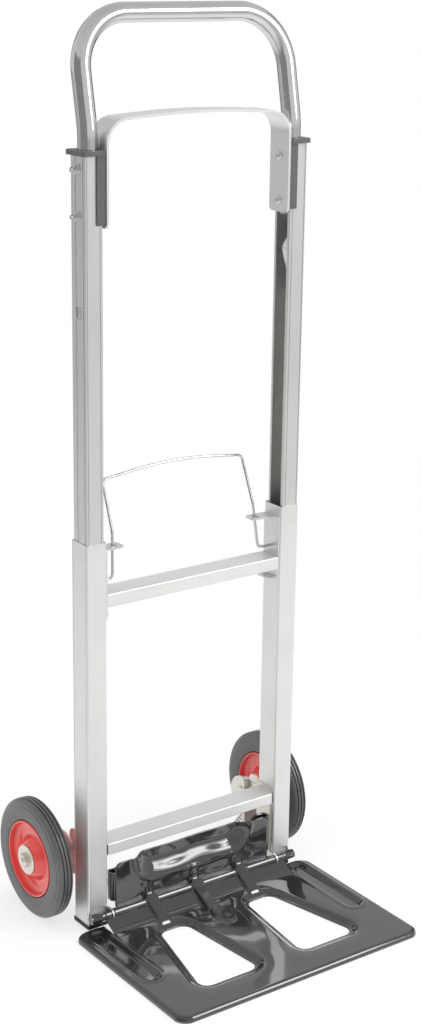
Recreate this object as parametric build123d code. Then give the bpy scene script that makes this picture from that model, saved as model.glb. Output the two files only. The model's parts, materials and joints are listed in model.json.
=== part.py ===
from build123d import *
import os
from math import cos, pi, sin, sqrt

# Folding hand truck, millimetres. X to the viewer's right, Y to the back, Z up.
# Every Y below counts back from the uprights' front faces; save() moves the
# whole truck so that the origin is under the middle of its bounding box.

# Overall
over_uprights = 306.0
wheel_diameter = 150.0
axle_back = 82.0
toe_reach = 231.0

# Clearances
running_gap = 0.05
sliding_gap = 0.1
loose_gap = 0.3
joint_gap = 0.5
hole_gap = 0.2
cut_past = 1.0

# Uprights
tube_width = 26.8
tube_depth = 33.4
tube_wall = 1.0
tube_corner = 2.2
tube_bottom = 8.0
tube_top = 493.0
notch_top = 31.3
notch_arch = 21.0
line_width = 1.2
line_depth = 0.3
line_inset = 3.4

# Telescoping channels
channel_wall = 1.8
channel_width = 23.0
channel_depth = 28.6
channel_corner = 1.2
channel_lip = 2.2
channel_bottom = 400.0
channel_top = 930.0
channel_y_gap = 0.2
band_front = 4.8
band_back = 20.1
band_line = 1.2
band_depth = 0.6
edge_line_out = 2.4
edge_line_in = 3.8
window_size = 12.0
window_z = 759.0

# Caps, bow and bolts
cap_plate = 5.6
cap_overhang = 2.6
cap_corner = 4.0
cap_round = 0.8
tongue_wall = 3.0
tongue_reach = 11.6
tongue_drop = 76.0
tongue_skin = 1.6
bow_thickness = 3.0
bow_width = 35.0
bow_drop = 79.0
bow_shoulder_rise = 38.0
bow_crown_rise = 45.0
bow_corner = 27.0
bow_crown_radius = 1100.0
bow_foot_corner = 6.0
bolt_diameter = 5.0
bolt_drop_low = 65.5
bolt_drop_high = 14.5
bolt_head_diameter = 10.0
bolt_head_height = 3.0
bolt_head_round = 2.4
washer_diameter = 12.0
washer_thickness = 1.2
nut_flats = 9.0
nut_height = 4.6
nut_chamfer = 0.7
hex_corner = 1.13
bolt_proud = 3.2

# Grip tube
grip_diameter = 22.2
grip_wall = 1.5
grip_drop = 82.0
grip_straight = 20.0
grip_bend_radius = 100.0
grip_rise = 152.4
grip_lean = 24.0
grip_corner = 62.0

# Snap springs
snap_y = 13.4
leaf_width = 9.0
leaf_thickness = 0.8
leaf_pad = 10.5
leaf_rise = 18.5
leaf_fold_radius = 3.0
leaf_knee = 19.5
leaf_bow = 17.5
leaf_knee_radius = 4.0
leaf_stand = 8.5
leaf_tail = 7.0
button_size = 11.2
button_recess = 0.3
button_corner = 2.0
button_round = 1.6
rivet_diameter = 4.0
rivet_z = 827.5
rivet_head = 7.0
rivet_head_height = 1.4
rivet_slack = 0.8

# Latch plates and bail
plate_thickness = 2.0
latch_front = 1.6
latch_back = 31.0
latch_bottom = 399.0
tab_top = 480.0
tab_reach = 33.0
tab_front = 12.0
tab_corner = 5.0
foot_lip = 10.0
slot_width = 4.6
bail_wire = 3.5
bail_bend = 7.0
bail_kink_bend = 28.0
bail_crown_bend = 500.0
bail_y = 19.3
bail_z = 440.0
bail_past = 0.9
bail_leg_x = 106.0
bail_tab_y = 22.6
bail_kink_x = 102.1
bail_kink_y = 25.7
bail_kink_z = 494.8
bail_corner_x = 100.6
bail_corner_y = 49.0
bail_corner_z = 552.0
bail_crown_z = 563.5
bail_swing_front = 5.6
bail_swing_back = 4.8

# Crossbars
bar_depth = 31.6
bar_front = 1.6
bar_wall = 1.6
bar_corner = 1.6
upper_bar_top = 429.0
upper_bar_height = 16.3
lower_bar_top = 110.0
lower_bar_height = 15.0

# Hinge plates, strap and wheel pivots
plate_front = 5.0
hinge_plate_top = 116.5
hinge_plate_bottom = 12.0
hinge_plate_corner = 5.0
lug_diameter = 14.0
pivot_y = 54.0
knuckle_diameter = 9.0
pin_diameter = 5.0
pin_head = 8.0
pin_head_height = 1.6
knuckle_gap = 0.4
fixed_knuckle = 11.0
web_half_height = 24.0
web_thickness = 2.5
web_inner_x = 136.6
lobe_y = 57.0
lobe_z = 102.0
lobe_radius = 10.0
strap_y = 65.0
strap_width = 10.0
strap_thickness = 2.5
strap_bottom = 20.0
strap_leg = 14.0

# Foot caps
foot_height = 4.6
foot_lip_out = 1.4
foot_plug = 5.0
foot_corner = 3.0

# Toe plate
sheet = 1.5
toe_width = 355.0
toe_back = 2.0
toe_height = 7.0
toe_corner = 16.0
rim_radius = 5.5
hinge_y = -5.6
hinge_z = 20.0
barrel_diameter = 13.0
rod_diameter = 8.0
barrel_end = 152.0
ramp_hold = 9.4
rod_head = 11.0
rod_head_height = 2.0
rear_window_y = -50.0
front_window_y = -182.0
rear_window_in = 46.0
rear_window_out = 84.0
front_window_in = 31.0
front_window_out = 115.0
window_corner = 13.0
window_margin = 7.0
window_drop = 4.0
groove_x = 152.0
groove_rear = -19.0
groove_front = -131.0
groove_width = 26.0
groove_floor = 12.0
groove_depth = 4.0
flange_front = -1.5
flange_top = 82.0
flange_half = 116.0
flange_corner = 9.0
dish_half = 88.0
dish_bottom = 48.0
dish_depth = 11.0
dish_corner = 32.0
dish_slope = 8.0
curl_radius = 13.0
curl_bottom = 33.0
curl_top = 72.0
rib_x = 68.0
rib_width = 13.0
rib_tip = -50.0
rib_head = 50.0
rib_crest_y = -11.5
rib_crest_z = 25.5
rib_neck_y = -4.5
rib_neck_z = 30.0
rib_round = 4.0
spoon_tip = -86.0
spoon_radius = 15.0
spoon_height = 4.0
spoon_round = 3.0

# Wheels
tyre_inner_x = 167.0
tyre_outer_x = 189.0
tread_groove = 1.8
tread_groove_depth = 2.4
tread_groove_step = 4.6
tyre_bulge = 1.2
shoulder = 4.0
rim_seat = 48.0
hub_sheet = 1.6
hub_web = 38.0
hub_cone = 28.0
hub_nose = 20.0
hub_nose_x = 190.6
hub_back_x = 161.0
axle_diameter = 10.0
bush_diameter = 15.0
sleeve_diameter = 17.0
axle_head = 20.0
axle_head_height = 3.0
axle_washer = 37.0
axle_washer_thickness = 1.8
axle_nut_flats = 16.0
axle_nut_height = 5.0
axle_nut_chamfer = 1.3
axle_end_x = 199.6
axle_chamfer = 1.5

# Wheel springs
coil_diameter = 11.0
spring_wire = 1.7
spring_turns = 9
spring_pitch = 3.5
hook_y = 65.0
hook_z = 58.0
anchor_x = 95.0
hook_tail = 5.5
hook_bend = 2.4
hook_stand = 3.2
lead_in = 5.0

# Values worked out from the above
front_y = (toe_reach - axle_back - wheel_diameter / 2) / 2
axle_z = wheel_diameter / 2
outer_x = over_uprights / 2
inner_x = outer_x - tube_width
tube_x = outer_x - tube_width / 2
mid_y = tube_depth / 2
web_x = outer_x - tube_wall - sliding_gap
lip_x = web_x - channel_width
channel_front = tube_wall + channel_y_gap
channel_back = channel_front + channel_depth
slide_y = channel_front + channel_depth / 2
slide_x = lip_x + channel_width / 2
cap_top = channel_top + cap_plate
bow_foot = channel_top - bow_drop
bow_shoulder = channel_top + bow_shoulder_rise
bow_crown = channel_top + bow_crown_rise
bolt_z_low = channel_top - bolt_drop_low
bolt_z_high = channel_top - bolt_drop_high
grip_foot = channel_top - grip_drop
grip_bend_z = cap_top + grip_straight
grip_top = cap_top + grip_rise
grip_x = web_x - channel_wall - sliding_gap - grip_diameter / 2
tongue_x = lip_x - loose_gap - tongue_wall
bow_x = tongue_x
leaf_x = web_x - channel_wall - sliding_gap - leaf_thickness / 2
leaf_top = rivet_z + leaf_rise
bail_end_x = inner_x + tube_wall + bail_past
plate_x = inner_x - plate_thickness
pivot_x = inner_x - knuckle_diameter / 2
ramp_half = inner_x + knuckle_gap + ramp_hold
web_bottom = axle_z - web_half_height
web_top = axle_z + web_half_height
web_outer_x = web_inner_x + web_thickness
strap_top = strap_bottom + strap_thickness
hook_hole = spring_wire + 2 * loose_gap
washer_x = web_x + washer_thickness
bolt_hole = bolt_diameter + 2 * hole_gap
nut_bore = bolt_diameter + 2 * running_gap
rod_bore = rod_diameter + 2 * running_gap
pin_bore = pin_diameter + 2 * running_gap
axle_bore = axle_diameter + 2 * running_gap


def block(x0, x1, y0, y1, z0, z1):
    """A box between two corners."""
    centre = Pos((x0 + x1) / 2, (y0 + y1) / 2, (z0 + z1) / 2)
    return centre * Box(abs(x1 - x0), abs(y1 - y0), abs(z1 - z0))


def bar_x(x0, x1, y, z, diameter):
    """A round bar along X."""
    return Pos((x0 + x1) / 2, y, z) * Rot(0, 90, 0) * Cylinder(diameter / 2, abs(x1 - x0))


def bar_y(x, y0, y1, z, diameter):
    """A round bar along Y."""
    return Pos(x, (y0 + y1) / 2, z) * Rot(90, 0, 0) * Cylinder(diameter / 2, abs(y1 - y0))


def bar_z(x, y, z0, z1, diameter):
    """A round bar along Z."""
    return Pos(x, y, (z0 + z1) / 2) * Cylinder(diameter / 2, abs(z1 - z0))


def prism_x(points, x0, x1):
    """A closed outline in (y, z) drawn out from x0 to x1."""
    outline = make_face(Polyline(*[(x0, y, z) for y, z in points], close=True))
    return extrude(outline, amount=x1 - x0, dir=(1, 0, 0))


def pair(right):
    """The right-hand piece with its mirror image, as (side, solid)."""
    return (("right", right), ("left", mirror(right, about=Plane.YZ)))


def group(solids):
    """Several loose solids kept as one node."""
    return Compound(children=list(solids))


def save(name, shape):
    """Write one node, with the origin under the middle of the truck."""
    export_step(Pos(0, front_y, 0) * shape, "parts/" + name + ".step")


def upright():
    """Closed lower tube, notched at the foot for the toe plate's barrel."""
    bore_width = tube_width - 2 * tube_wall
    bore_depth = tube_depth - 2 * tube_wall
    section = RectangleRounded(tube_width, tube_depth, tube_corner)
    section -= RectangleRounded(bore_width, bore_depth, tube_corner - tube_wall)
    solid = extrude(Pos(tube_x, mid_y, tube_bottom) * section, amount=tube_top - tube_bottom)
    notch = block(inner_x - cut_past, outer_x + cut_past, -cut_past, tube_wall + hole_gap, 0, notch_top)
    arch = bar_y(tube_x, -cut_past, tube_wall + hole_gap, notch_top - notch_arch, 2 * notch_arch)
    solid -= notch & arch
    solid -= bar_x(inner_x - cut_past, tube_x, bail_y, bail_z, bail_wire + 2 * hole_gap)
    for y in (line_inset, tube_depth - line_inset):
        solid -= block(outer_x - line_depth, outer_x + cut_past, y - line_width / 2, y + line_width / 2,
                       0, tube_top + cut_past)
    return solid


def channel():
    """Inner C-channel, open towards the middle, that slides in the upright."""
    section = RectangleRounded(channel_width, channel_depth, channel_corner)
    height = channel_top - channel_bottom
    solid = extrude(Pos(slide_x, slide_y, channel_bottom) * section, amount=height)
    inside = block(lip_x + channel_wall, web_x - channel_wall, channel_front + channel_wall,
                   channel_back - channel_wall, 0, channel_top + cut_past)
    lip_y = channel_wall + channel_lip
    mouth = block(lip_x - cut_past, tube_x, channel_front + lip_y, channel_back - lip_y, 0,
                  channel_top + cut_past)
    solid -= inside
    solid -= mouth
    for y in (band_front, band_back):
        solid -= block(web_x - band_depth, web_x + cut_past, y - band_line / 2, y + band_line / 2,
                       0, channel_top + cut_past)
    for x in (web_x - edge_line_out, lip_x + edge_line_in):
        solid -= block(x - band_line / 2, x + band_line / 2, -cut_past, channel_front + band_depth,
                       0, channel_top + cut_past)
    half = window_size / 2
    solid -= block(slide_x, outer_x, snap_y - half, snap_y + half, window_z - half, window_z + half)
    for z in (bolt_z_low, bolt_z_high):
        solid -= bar_x(slide_x, outer_x, slide_y, z, bolt_hole)
    solid -= bar_x(slide_x, outer_x, snap_y, rivet_z, rivet_diameter + 2 * running_gap)
    return solid


def cap():
    """Plastic end cap with a tongue that wraps the channel's open side."""
    plate_width = outer_x + cap_overhang - tongue_x
    plate_depth = tube_depth + 2 * cap_overhang
    plate_sketch = RectangleRounded(plate_width, plate_depth, cap_corner)
    plate = extrude(Pos(tongue_x + plate_width / 2, mid_y, channel_top) * plate_sketch, amount=cap_plate)
    plate = fillet(plate.edges().group_by(Axis.Z)[-1], cap_round)
    tongue = block(tongue_x, tongue_x + tongue_reach, channel_front - loose_gap - tongue_skin,
                   channel_back + loose_gap + tongue_skin, channel_top - tongue_drop, channel_top)
    tongue = fillet(tongue.edges().filter_by(Axis.X).group_by(Axis.Z)[0], cap_corner)
    tongue -= block(lip_x - loose_gap, outer_x, channel_front - loose_gap, channel_back + loose_gap,
                    0, channel_top)
    solid = plate + tongue
    solid -= bar_z(grip_x, slide_y, 0, cap_top + cut_past, grip_diameter + 2 * loose_gap)
    for z in (bolt_z_low, bolt_z_high):
        solid -= bar_x(tongue_x - cut_past, tube_x, slide_y, z, bolt_hole)
    return solid


def grip_tube():
    """Round tube bent to a loop, leaning back above the caps."""
    top_z = grip_top - grip_diameter / 2
    back = slide_y + grip_lean
    points = [
        (grip_x, slide_y, grip_foot),
        (grip_x, slide_y, grip_bend_z),
        (grip_x, back, top_z),
        (-grip_x, back, top_z),
        (-grip_x, slide_y, grip_bend_z),
        (-grip_x, slide_y, grip_foot),
    ]
    path = FilletPolyline(*points, radius=[grip_bend_radius, grip_corner, grip_corner, grip_bend_radius])
    foot = Pos(grip_x, slide_y, grip_foot)
    solid = sweep(foot * Circle(grip_diameter / 2), path=path)
    solid -= sweep(foot * Circle(grip_diameter / 2 - grip_wall), path=path)
    for z in (bolt_z_low, bolt_z_high):
        solid -= bar_x(-outer_x, outer_x, slide_y, z, bolt_hole)
    return solid


def bow():
    """Flat strip bent to a broad arch between the caps' tongues."""
    half = bow_x - bow_thickness / 2
    lift = bow_thickness / 2
    points = [
        (half, slide_y, bow_foot),
        (half, slide_y, bow_shoulder - lift),
        (0, slide_y, bow_crown - lift),
        (-half, slide_y, bow_shoulder - lift),
        (-half, slide_y, bow_foot),
    ]
    path = FilletPolyline(*points, radius=[bow_corner, bow_crown_radius, bow_corner])
    section = Pos(half, slide_y, bow_foot) * Rectangle(bow_thickness, bow_width)
    solid = sweep(section, path=path)
    feet = solid.edges().filter_by(Axis.X).group_by(Axis.Z)[0]
    solid = fillet(feet, bow_foot_corner)
    for z in (bolt_z_low, bolt_z_high):
        solid -= bar_x(-outer_x, outer_x, slide_y, z, bolt_hole)
    return solid


def bolt(z):
    """Domed bolt from the bow's inner face to outside the channel."""
    head_x = bow_x - bow_thickness
    end_x = washer_x + nut_height + bolt_proud
    shank = bar_x(head_x, end_x, slide_y, z, bolt_diameter)
    head = bar_x(head_x - bolt_head_height, head_x, slide_y, z, bolt_head_diameter)
    head = fillet(head.edges().group_by(Axis.X)[0], bolt_head_round)
    return head + shank


def washer(z):
    """Flat washer on the channel's web."""
    ring = bar_x(web_x, washer_x, slide_y, z, washer_diameter)
    return ring - bar_x(web_x - cut_past, washer_x + cut_past, slide_y, z, bolt_hole)


def nut(z):
    """Hexagon nut outside the washer."""
    hexagon = Plane.YZ * RegularPolygon(nut_flats / 2, 6, major_radius=False)
    solid = extrude(Pos(washer_x, slide_y, z) * hexagon, amount=nut_height, dir=(1, 0, 0))
    end = bar_x(washer_x, washer_x + nut_height, slide_y, z, nut_flats * hex_corner)
    end = chamfer(end.edges().group_by(Axis.X)[-1], nut_chamfer)
    solid = solid & end
    return solid - bar_x(web_x, washer_x + nut_height + bolt_proud, slide_y, z, nut_bore)


def leaf():
    """Leaf spring behind the snap button: riveted pad, fold, and a bowed leg down to the button."""
    points = [
        (leaf_x, snap_y, rivet_z - leaf_pad),
        (leaf_x, snap_y, leaf_top),
        (leaf_x - leaf_bow, snap_y, rivet_z - leaf_knee),
        (leaf_x - leaf_stand, snap_y, window_z + leaf_tail),
        (leaf_x - leaf_stand, snap_y, window_z - leaf_tail),
    ]
    path = FilletPolyline(*points, radius=[leaf_fold_radius, leaf_knee_radius, leaf_knee_radius])
    section = Pos(leaf_x, snap_y, rivet_z - leaf_pad) * Rectangle(leaf_thickness, leaf_width)
    solid = sweep(section, path=path)
    hole_end = leaf_x - leaf_thickness
    return solid - bar_x(hole_end, outer_x, snap_y, rivet_z, rivet_diameter + 2 * loose_gap)


def button():
    """Square snap button standing in the channel's window."""
    inner = leaf_x - leaf_stand + leaf_thickness / 2
    half = button_size / 2
    solid = block(inner, web_x - button_recess, snap_y - half, snap_y + half, window_z - half,
                  window_z + half)
    solid = fillet(solid.edges().filter_by(Axis.X), button_corner)
    return fillet(solid.edges().group_by(Axis.X)[-1], button_round)


def leaf_rivet():
    """Rivet that holds a leaf spring to the channel's web."""
    inner = leaf_x - leaf_thickness / 2 - rivet_slack
    shank = bar_x(inner - rivet_head_height, web_x, snap_y, rivet_z, rivet_diameter)
    return shank + bar_x(inner - rivet_head_height, inner, snap_y, rivet_z, rivet_head)


def latch_plate():
    """Plate on the upright's inner face with a slotted tab bent inward."""
    foot = latch_bottom + plate_thickness
    side = block(plate_x, inner_x, latch_front, latch_back, latch_bottom, tab_top)
    tab = block(inner_x - tab_reach, inner_x, tab_front, latch_back, tab_top - plate_thickness, tab_top)
    tab = fillet(tab.edges().filter_by(Axis.Z).group_by(Axis.X)[0], tab_corner)
    lip = block(inner_x - foot_lip, inner_x, tab_front, latch_back, latch_bottom, foot)
    solid = side + tab + lip
    slot_front = bail_tab_y - bail_swing_front
    slot_back = bail_tab_y + bail_swing_back
    slot_x = bail_slot_x()
    centre_y = (slot_front + slot_back) / 2
    slot = SlotCenterToCenter(slot_back - slot_front, slot_width, rotation=90)
    solid -= extrude(Pos(slot_x, centre_y, foot) * slot, amount=tab_top - foot + cut_past)
    solid -= bar_x(plate_x - cut_past, inner_x + cut_past, bail_y, bail_z, bail_wire + 2 * sliding_gap)
    solid -= bar_z(inner_x - foot_lip / 2, mid_y, latch_bottom - cut_past, foot + cut_past, bolt_diameter)
    return solid


def bail_slot_x():
    """Where the bail's leg crosses the tab, across the truck."""
    share = (tab_top - bail_z) / (bail_kink_z - bail_z)
    return bail_leg_x + (bail_kink_x - bail_leg_x) * share


def bail():
    """Spring wire bent to a loop, its ends in the latch plates."""
    side = [
        (bail_end_x, bail_y, bail_z),
        (bail_leg_x, bail_y, bail_z),
        (bail_kink_x, bail_kink_y, bail_kink_z),
        (bail_corner_x, bail_corner_y, bail_corner_z),
    ]
    other = [(-x, y, z) for x, y, z in reversed(side)]
    points = side + [(0, bail_corner_y, bail_crown_z)] + other
    half = [bail_bend, bail_kink_bend, bail_bend]
    radii = half + [bail_crown_bend] + half
    path = FilletPolyline(*points, radius=radii)
    start = Plane(origin=side[0], z_dir=(-1, 0, 0))
    return sweep(start * Circle(bail_wire / 2), path=path)


def crossbar(top, height):
    """Rectangular tube between the plates on the uprights."""
    bore_depth = bar_depth - 2 * bar_wall
    section = RectangleRounded(bar_depth, height, bar_corner)
    section -= Rectangle(bore_depth, height - 2 * bar_wall)
    centre = Pos(-plate_x, bar_front + bar_depth / 2, top - height / 2)
    return extrude(centre * (Plane.YZ * section), amount=2 * plate_x, dir=(1, 0, 0))


def knuckle(z0, z1):
    """A short hinge tube on a wheel pivot, before it is bored."""
    return bar_z(pivot_x, pivot_y, z0, z1, knuckle_diameter)


def hinge_plate():
    """Lower plate: toe hinge lug in front, wheel pivot knuckles behind."""
    outline = [
        (plate_front, hinge_plate_bottom),
        (tube_depth, hinge_plate_bottom),
        (tube_depth, hinge_plate_top),
        (plate_front, hinge_plate_top),
    ]
    solid = prism_x(outline, plate_x, inner_x)
    corners = solid.edges().filter_by(Axis.X).group_by(Axis.Z)[-1]
    solid = fillet(corners, hinge_plate_corner)
    lug = bar_x(plate_x, inner_x, hinge_y, hinge_z, lug_diameter)
    lug += block(plate_x, inner_x, hinge_y, plate_front + cut_past, hinge_z - lug_diameter / 2,
                 hinge_z + lug_diameter / 2)
    solid += lug
    low = web_bottom - knuckle_gap
    high = web_top + knuckle_gap
    for z0, z1 in ((low - fixed_knuckle, low), (high, high + fixed_knuckle)):
        solid += block(plate_x, inner_x, tube_depth - cut_past, pivot_y, z0, z1)
        solid += knuckle(z0, z1)
    solid -= bar_z(pivot_x, pivot_y, 0, hinge_plate_top, pin_bore)
    solid -= bar_x(plate_x - cut_past, inner_x + cut_past, hinge_y, hinge_z, rod_bore)
    foot = block(plate_x, inner_x, tube_depth - cut_past, strap_y + strap_width / 2, strap_bottom,
                 strap_top + strap_leg)
    return solid + foot


def strap():
    """Flat strap between the hinge plates that anchors the wheel springs."""
    front = strap_y - strap_width / 2
    back = strap_y + strap_width / 2
    solid = block(-plate_x, plate_x, front, back, strap_bottom, strap_top)
    for side in (-1, 1):
        solid += block(side * plate_x, side * (plate_x - plate_thickness), front, back, strap_bottom,
                       strap_top + strap_leg)
        solid -= bar_z(side * anchor_x, strap_y, strap_bottom - cut_past, strap_top + cut_past, hook_hole)
    return solid


def pivot_pin():
    """Vertical pin of a wheel bracket, with a head at each end."""
    low = web_bottom - knuckle_gap - fixed_knuckle - joint_gap
    high = web_top + knuckle_gap + fixed_knuckle + joint_gap
    solid = bar_z(pivot_x, pivot_y, low, high, pin_diameter)
    solid += bar_z(pivot_x, pivot_y, low - pin_head_height, low, pin_head)
    return solid + bar_z(pivot_x, pivot_y, high, high + pin_head_height, pin_head)


def wheel_bracket():
    """Pressed bracket: knuckle, short leaf, and a web round the stub axle."""
    leaf_y = pivot_y - knuckle_diameter / 2 + web_thickness
    web = bar_x(web_inner_x, web_outer_x, axle_back, axle_z, 2 * web_half_height)
    web += block(web_inner_x, web_outer_x, leaf_y - web_thickness, axle_back, web_bottom, axle_z)
    web += block(web_inner_x, web_outer_x, leaf_y - web_thickness, lobe_y, web_bottom, lobe_z)
    web += block(web_inner_x, web_outer_x, lobe_y, axle_back, axle_z, lobe_z - lobe_radius)
    web += bar_x(web_inner_x, web_outer_x, lobe_y, lobe_z, 2 * lobe_radius)
    leaf_block = block(pivot_x, web_outer_x, leaf_y - web_thickness, leaf_y, web_bottom, web_top)
    solid = web + leaf_block + knuckle(web_bottom, web_top)
    solid -= bar_z(pivot_x, pivot_y, 0, hinge_plate_top, pin_bore)
    solid -= bar_x(web_inner_x - cut_past, web_outer_x + cut_past, axle_back, axle_z, axle_bore)
    return solid - bar_x(web_inner_x - cut_past, web_outer_x + cut_past, hook_y, hook_z, hook_hole)


def foot_cap():
    """Plastic plug in the upright's lower end, with a lip under it."""
    lip = RectangleRounded(tube_width + 2 * foot_lip_out, tube_depth + foot_lip_out, foot_corner)
    lip_y = mid_y + foot_lip_out / 2
    solid = extrude(Pos(tube_x, lip_y, tube_bottom - foot_height) * lip, amount=foot_height)
    solid = fillet(solid.edges().group_by(Axis.Z)[0], foot_lip_out)
    gap = tube_wall + sliding_gap
    plug = block(inner_x + gap, outer_x - gap, gap + hole_gap, tube_depth - gap, tube_bottom,
                 tube_bottom + foot_plug)
    return solid + fillet(plug.edges().filter_by(Axis.Z), tube_corner)


def hinge_rod():
    """Rod of the toe plate's hinge, headed at both ends."""
    half = barrel_end + joint_gap
    solid = bar_x(-half, half, hinge_y, hinge_z, rod_diameter)
    for side in (-1, 1):
        head = bar_x(side * half, side * (half + rod_head_height), hinge_y, hinge_z, rod_head)
        solid += head
    return solid


def toe_outline(inset, z):
    """Rounded outline of the toe plate, moved in by inset."""
    width = toe_width - 2 * inset
    depth = toe_reach - toe_back - 2 * inset
    centre_y = -(toe_reach + toe_back) / 2
    return Pos(0, centre_y, z) * RectangleRounded(width, depth, toe_corner - inset)


def window_outline(margin, z):
    """Rounded trapezoid of the right-hand window, grown by margin."""
    points = [
        (rear_window_in - margin, rear_window_y + margin),
        (rear_window_out + margin, rear_window_y + margin),
        (front_window_out + margin, front_window_y - margin),
        (front_window_in - margin, front_window_y - margin),
    ]
    face = make_face(Polyline(*points, close=True))
    face = fillet(face.vertices(), window_corner + margin / 2)
    return Pos(0, 0, z) * face


def groove_outline(width, z):
    """Round-ended outline of the right-hand side groove."""
    length = groove_rear - groove_front
    slot = SlotCenterToCenter(length, width, rotation=90)
    return Pos(groove_x, (groove_rear + groove_front) / 2, z) * slot


def dish_outline(inset, y):
    """Outline of the flange's pocket, running out over the top edge."""
    height = 2 * (flange_top - dish_bottom)
    shape = RectangleRounded(2 * (dish_half - inset), height, dish_corner)
    return Pos(0, y, dish_bottom + inset + height / 2) * (Plane.XZ * shape)


def toe_tray():
    """The flat of the toe plate with its turned-down rim."""
    skin = extrude(toe_outline(0, 0), amount=toe_height)
    skin = fillet(skin.edges().group_by(Axis.Z)[-1], rim_radius)
    hollow = extrude(toe_outline(sheet, -sheet), amount=toe_height)
    hollow = fillet(hollow.edges().group_by(Axis.Z)[-1], rim_radius - sheet)
    tray = skin - hollow
    floor = toe_height - window_drop - sheet
    for side in (0, 1):
        shell = loft([window_outline(window_margin, toe_height), window_outline(sheet, floor)])
        hole = loft([window_outline(window_margin - sheet, toe_height), window_outline(0, floor)])
        through = extrude(window_outline(0, -sheet), amount=toe_height)
        trough = loft([groove_outline(groove_width, toe_height),
                       groove_outline(groove_floor, toe_height - groove_depth)])
        below = loft([groove_outline(groove_width + 2 * sheet, toe_height - sheet / 2),
                      groove_outline(groove_floor + 2 * sheet, toe_height - groove_depth - sheet)])
        tools = [shell, hole, through, below, trough]
        if side:
            tools = [mirror(tool, about=Plane.YZ) for tool in tools]
        tray += tools[0]
        tray -= tools[1]
        tray -= tools[2]
        tray += tools[3]
        tray -= tools[4]
    return tray


def rib(x, tip):
    """Stiffening rib from the flat, over the barrel, up the flange."""
    points = [
        (tip, toe_height - sheet),
        (tip, toe_height),
        (rib_crest_y, rib_crest_z),
        (rib_neck_y, rib_neck_z),
        (flange_front, rib_head),
        (flange_front + sheet, rib_head),
        (flange_front + sheet, hinge_z),
        (hinge_y - barrel_diameter / 2 + cut_past, hinge_z),
        (rib_crest_y - barrel_diameter, toe_height - sheet),
    ]
    solid = prism_x(points, x - rib_width / 2, x + rib_width / 2)
    lengthwise = solid.edges().filter_by(Axis.X, reverse=True)
    return fillet(lengthwise.filter_by(on_rib_top), rib_round)


def on_rib_top(edge):
    """Whether an edge runs along the top of a rib."""
    middle = edge.center()
    in_front = middle.Y < rib_crest_y - barrel_diameter and middle.Z > toe_height + cut_past
    over_barrel = middle.Y < flange_front - cut_past and middle.Z > hinge_z + cut_past
    return edge.length > sheet + cut_past and (in_front or over_barrel)


def toe_flange():
    """Back flange with its open pocket and curled ends."""
    back = flange_front + sheet
    plate = block(-flange_half, flange_half, flange_front, back, hinge_z, flange_top)
    corners = plate.edges().filter_by(Axis.Y).group_by(Axis.Z)[-1]
    plate = fillet(corners, flange_corner)
    outside = loft([dish_outline(-sheet, flange_front),
                    dish_outline(dish_slope - sheet, back + dish_depth)])
    inside = loft([dish_outline(0, flange_front), dish_outline(dish_slope, flange_front + dish_depth)])
    limit = block(-flange_half, flange_half, flange_front, back + dish_depth, hinge_z, flange_top)
    solid = plate + (outside & limit)
    solid -= inside
    middle = (flange_front + back) / 2
    for side in (-1, 1):
        centre_x = side * (flange_half - curl_radius)
        ring = bar_z(centre_x, middle, curl_bottom, curl_top, 2 * curl_radius)
        ring -= bar_z(centre_x, middle, curl_bottom, curl_top, 2 * (curl_radius - sheet))
        solid += ring & block(centre_x - curl_radius, centre_x + curl_radius, middle,
                              middle + curl_radius, curl_bottom, curl_top)
    return solid


def toe_plate():
    """The whole pressing: flat, ramp, barrels, ribs and flange."""
    barrel_front = hinge_y - barrel_diameter / 2
    bend_inner = hinge_z - toe_height
    bend_y = barrel_front - bend_inner
    solid = toe_tray()
    solid -= block(-ramp_half, ramp_half, bend_y, cut_past, -cut_past, toe_height + cut_past)
    ramp = bar_x(-ramp_half, ramp_half, bend_y, hinge_z, 2 * (bend_inner + sheet))
    ramp -= bar_x(-ramp_half, ramp_half, bend_y, hinge_z, 2 * bend_inner)
    ramp &= block(-ramp_half, ramp_half, bend_y, barrel_front + sheet, 0, hinge_z)
    solid += ramp
    solid += bar_x(-barrel_end, barrel_end, hinge_y, hinge_z, barrel_diameter)
    solid += toe_flange()
    for x in (-rib_x, rib_x):
        solid += rib(x, rib_tip)
    solid += rib(0, rib_tip)
    spoon = SlotCenterToCenter(-spoon_tip - spoon_radius + bend_y, 2 * spoon_radius, rotation=90)
    spoon_y = (spoon_tip + spoon_radius + bend_y) / 2
    boss = extrude(Pos(0, spoon_y, toe_height - sheet) * spoon, amount=spoon_height + sheet)
    solid += fillet(boss.edges().group_by(Axis.Z)[-1], spoon_round)
    solid -= bar_x(-outer_x, outer_x, hinge_y, hinge_z, rod_bore)
    slot = knuckle_gap
    for side in (-1, 1):
        lug = bar_x(side * (plate_x - slot), side * (inner_x + slot), hinge_y, hinge_z,
                    lug_diameter + 2 * joint_gap)
        solid -= lug
    return solid


def lathe(points):
    """A profile in (x, radius) turned about the right-hand wheel's axle."""
    face = make_face(Polyline(*points, close=True))
    return Pos(0, axle_back, axle_z) * revolve(face, axis=Axis.X)


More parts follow.
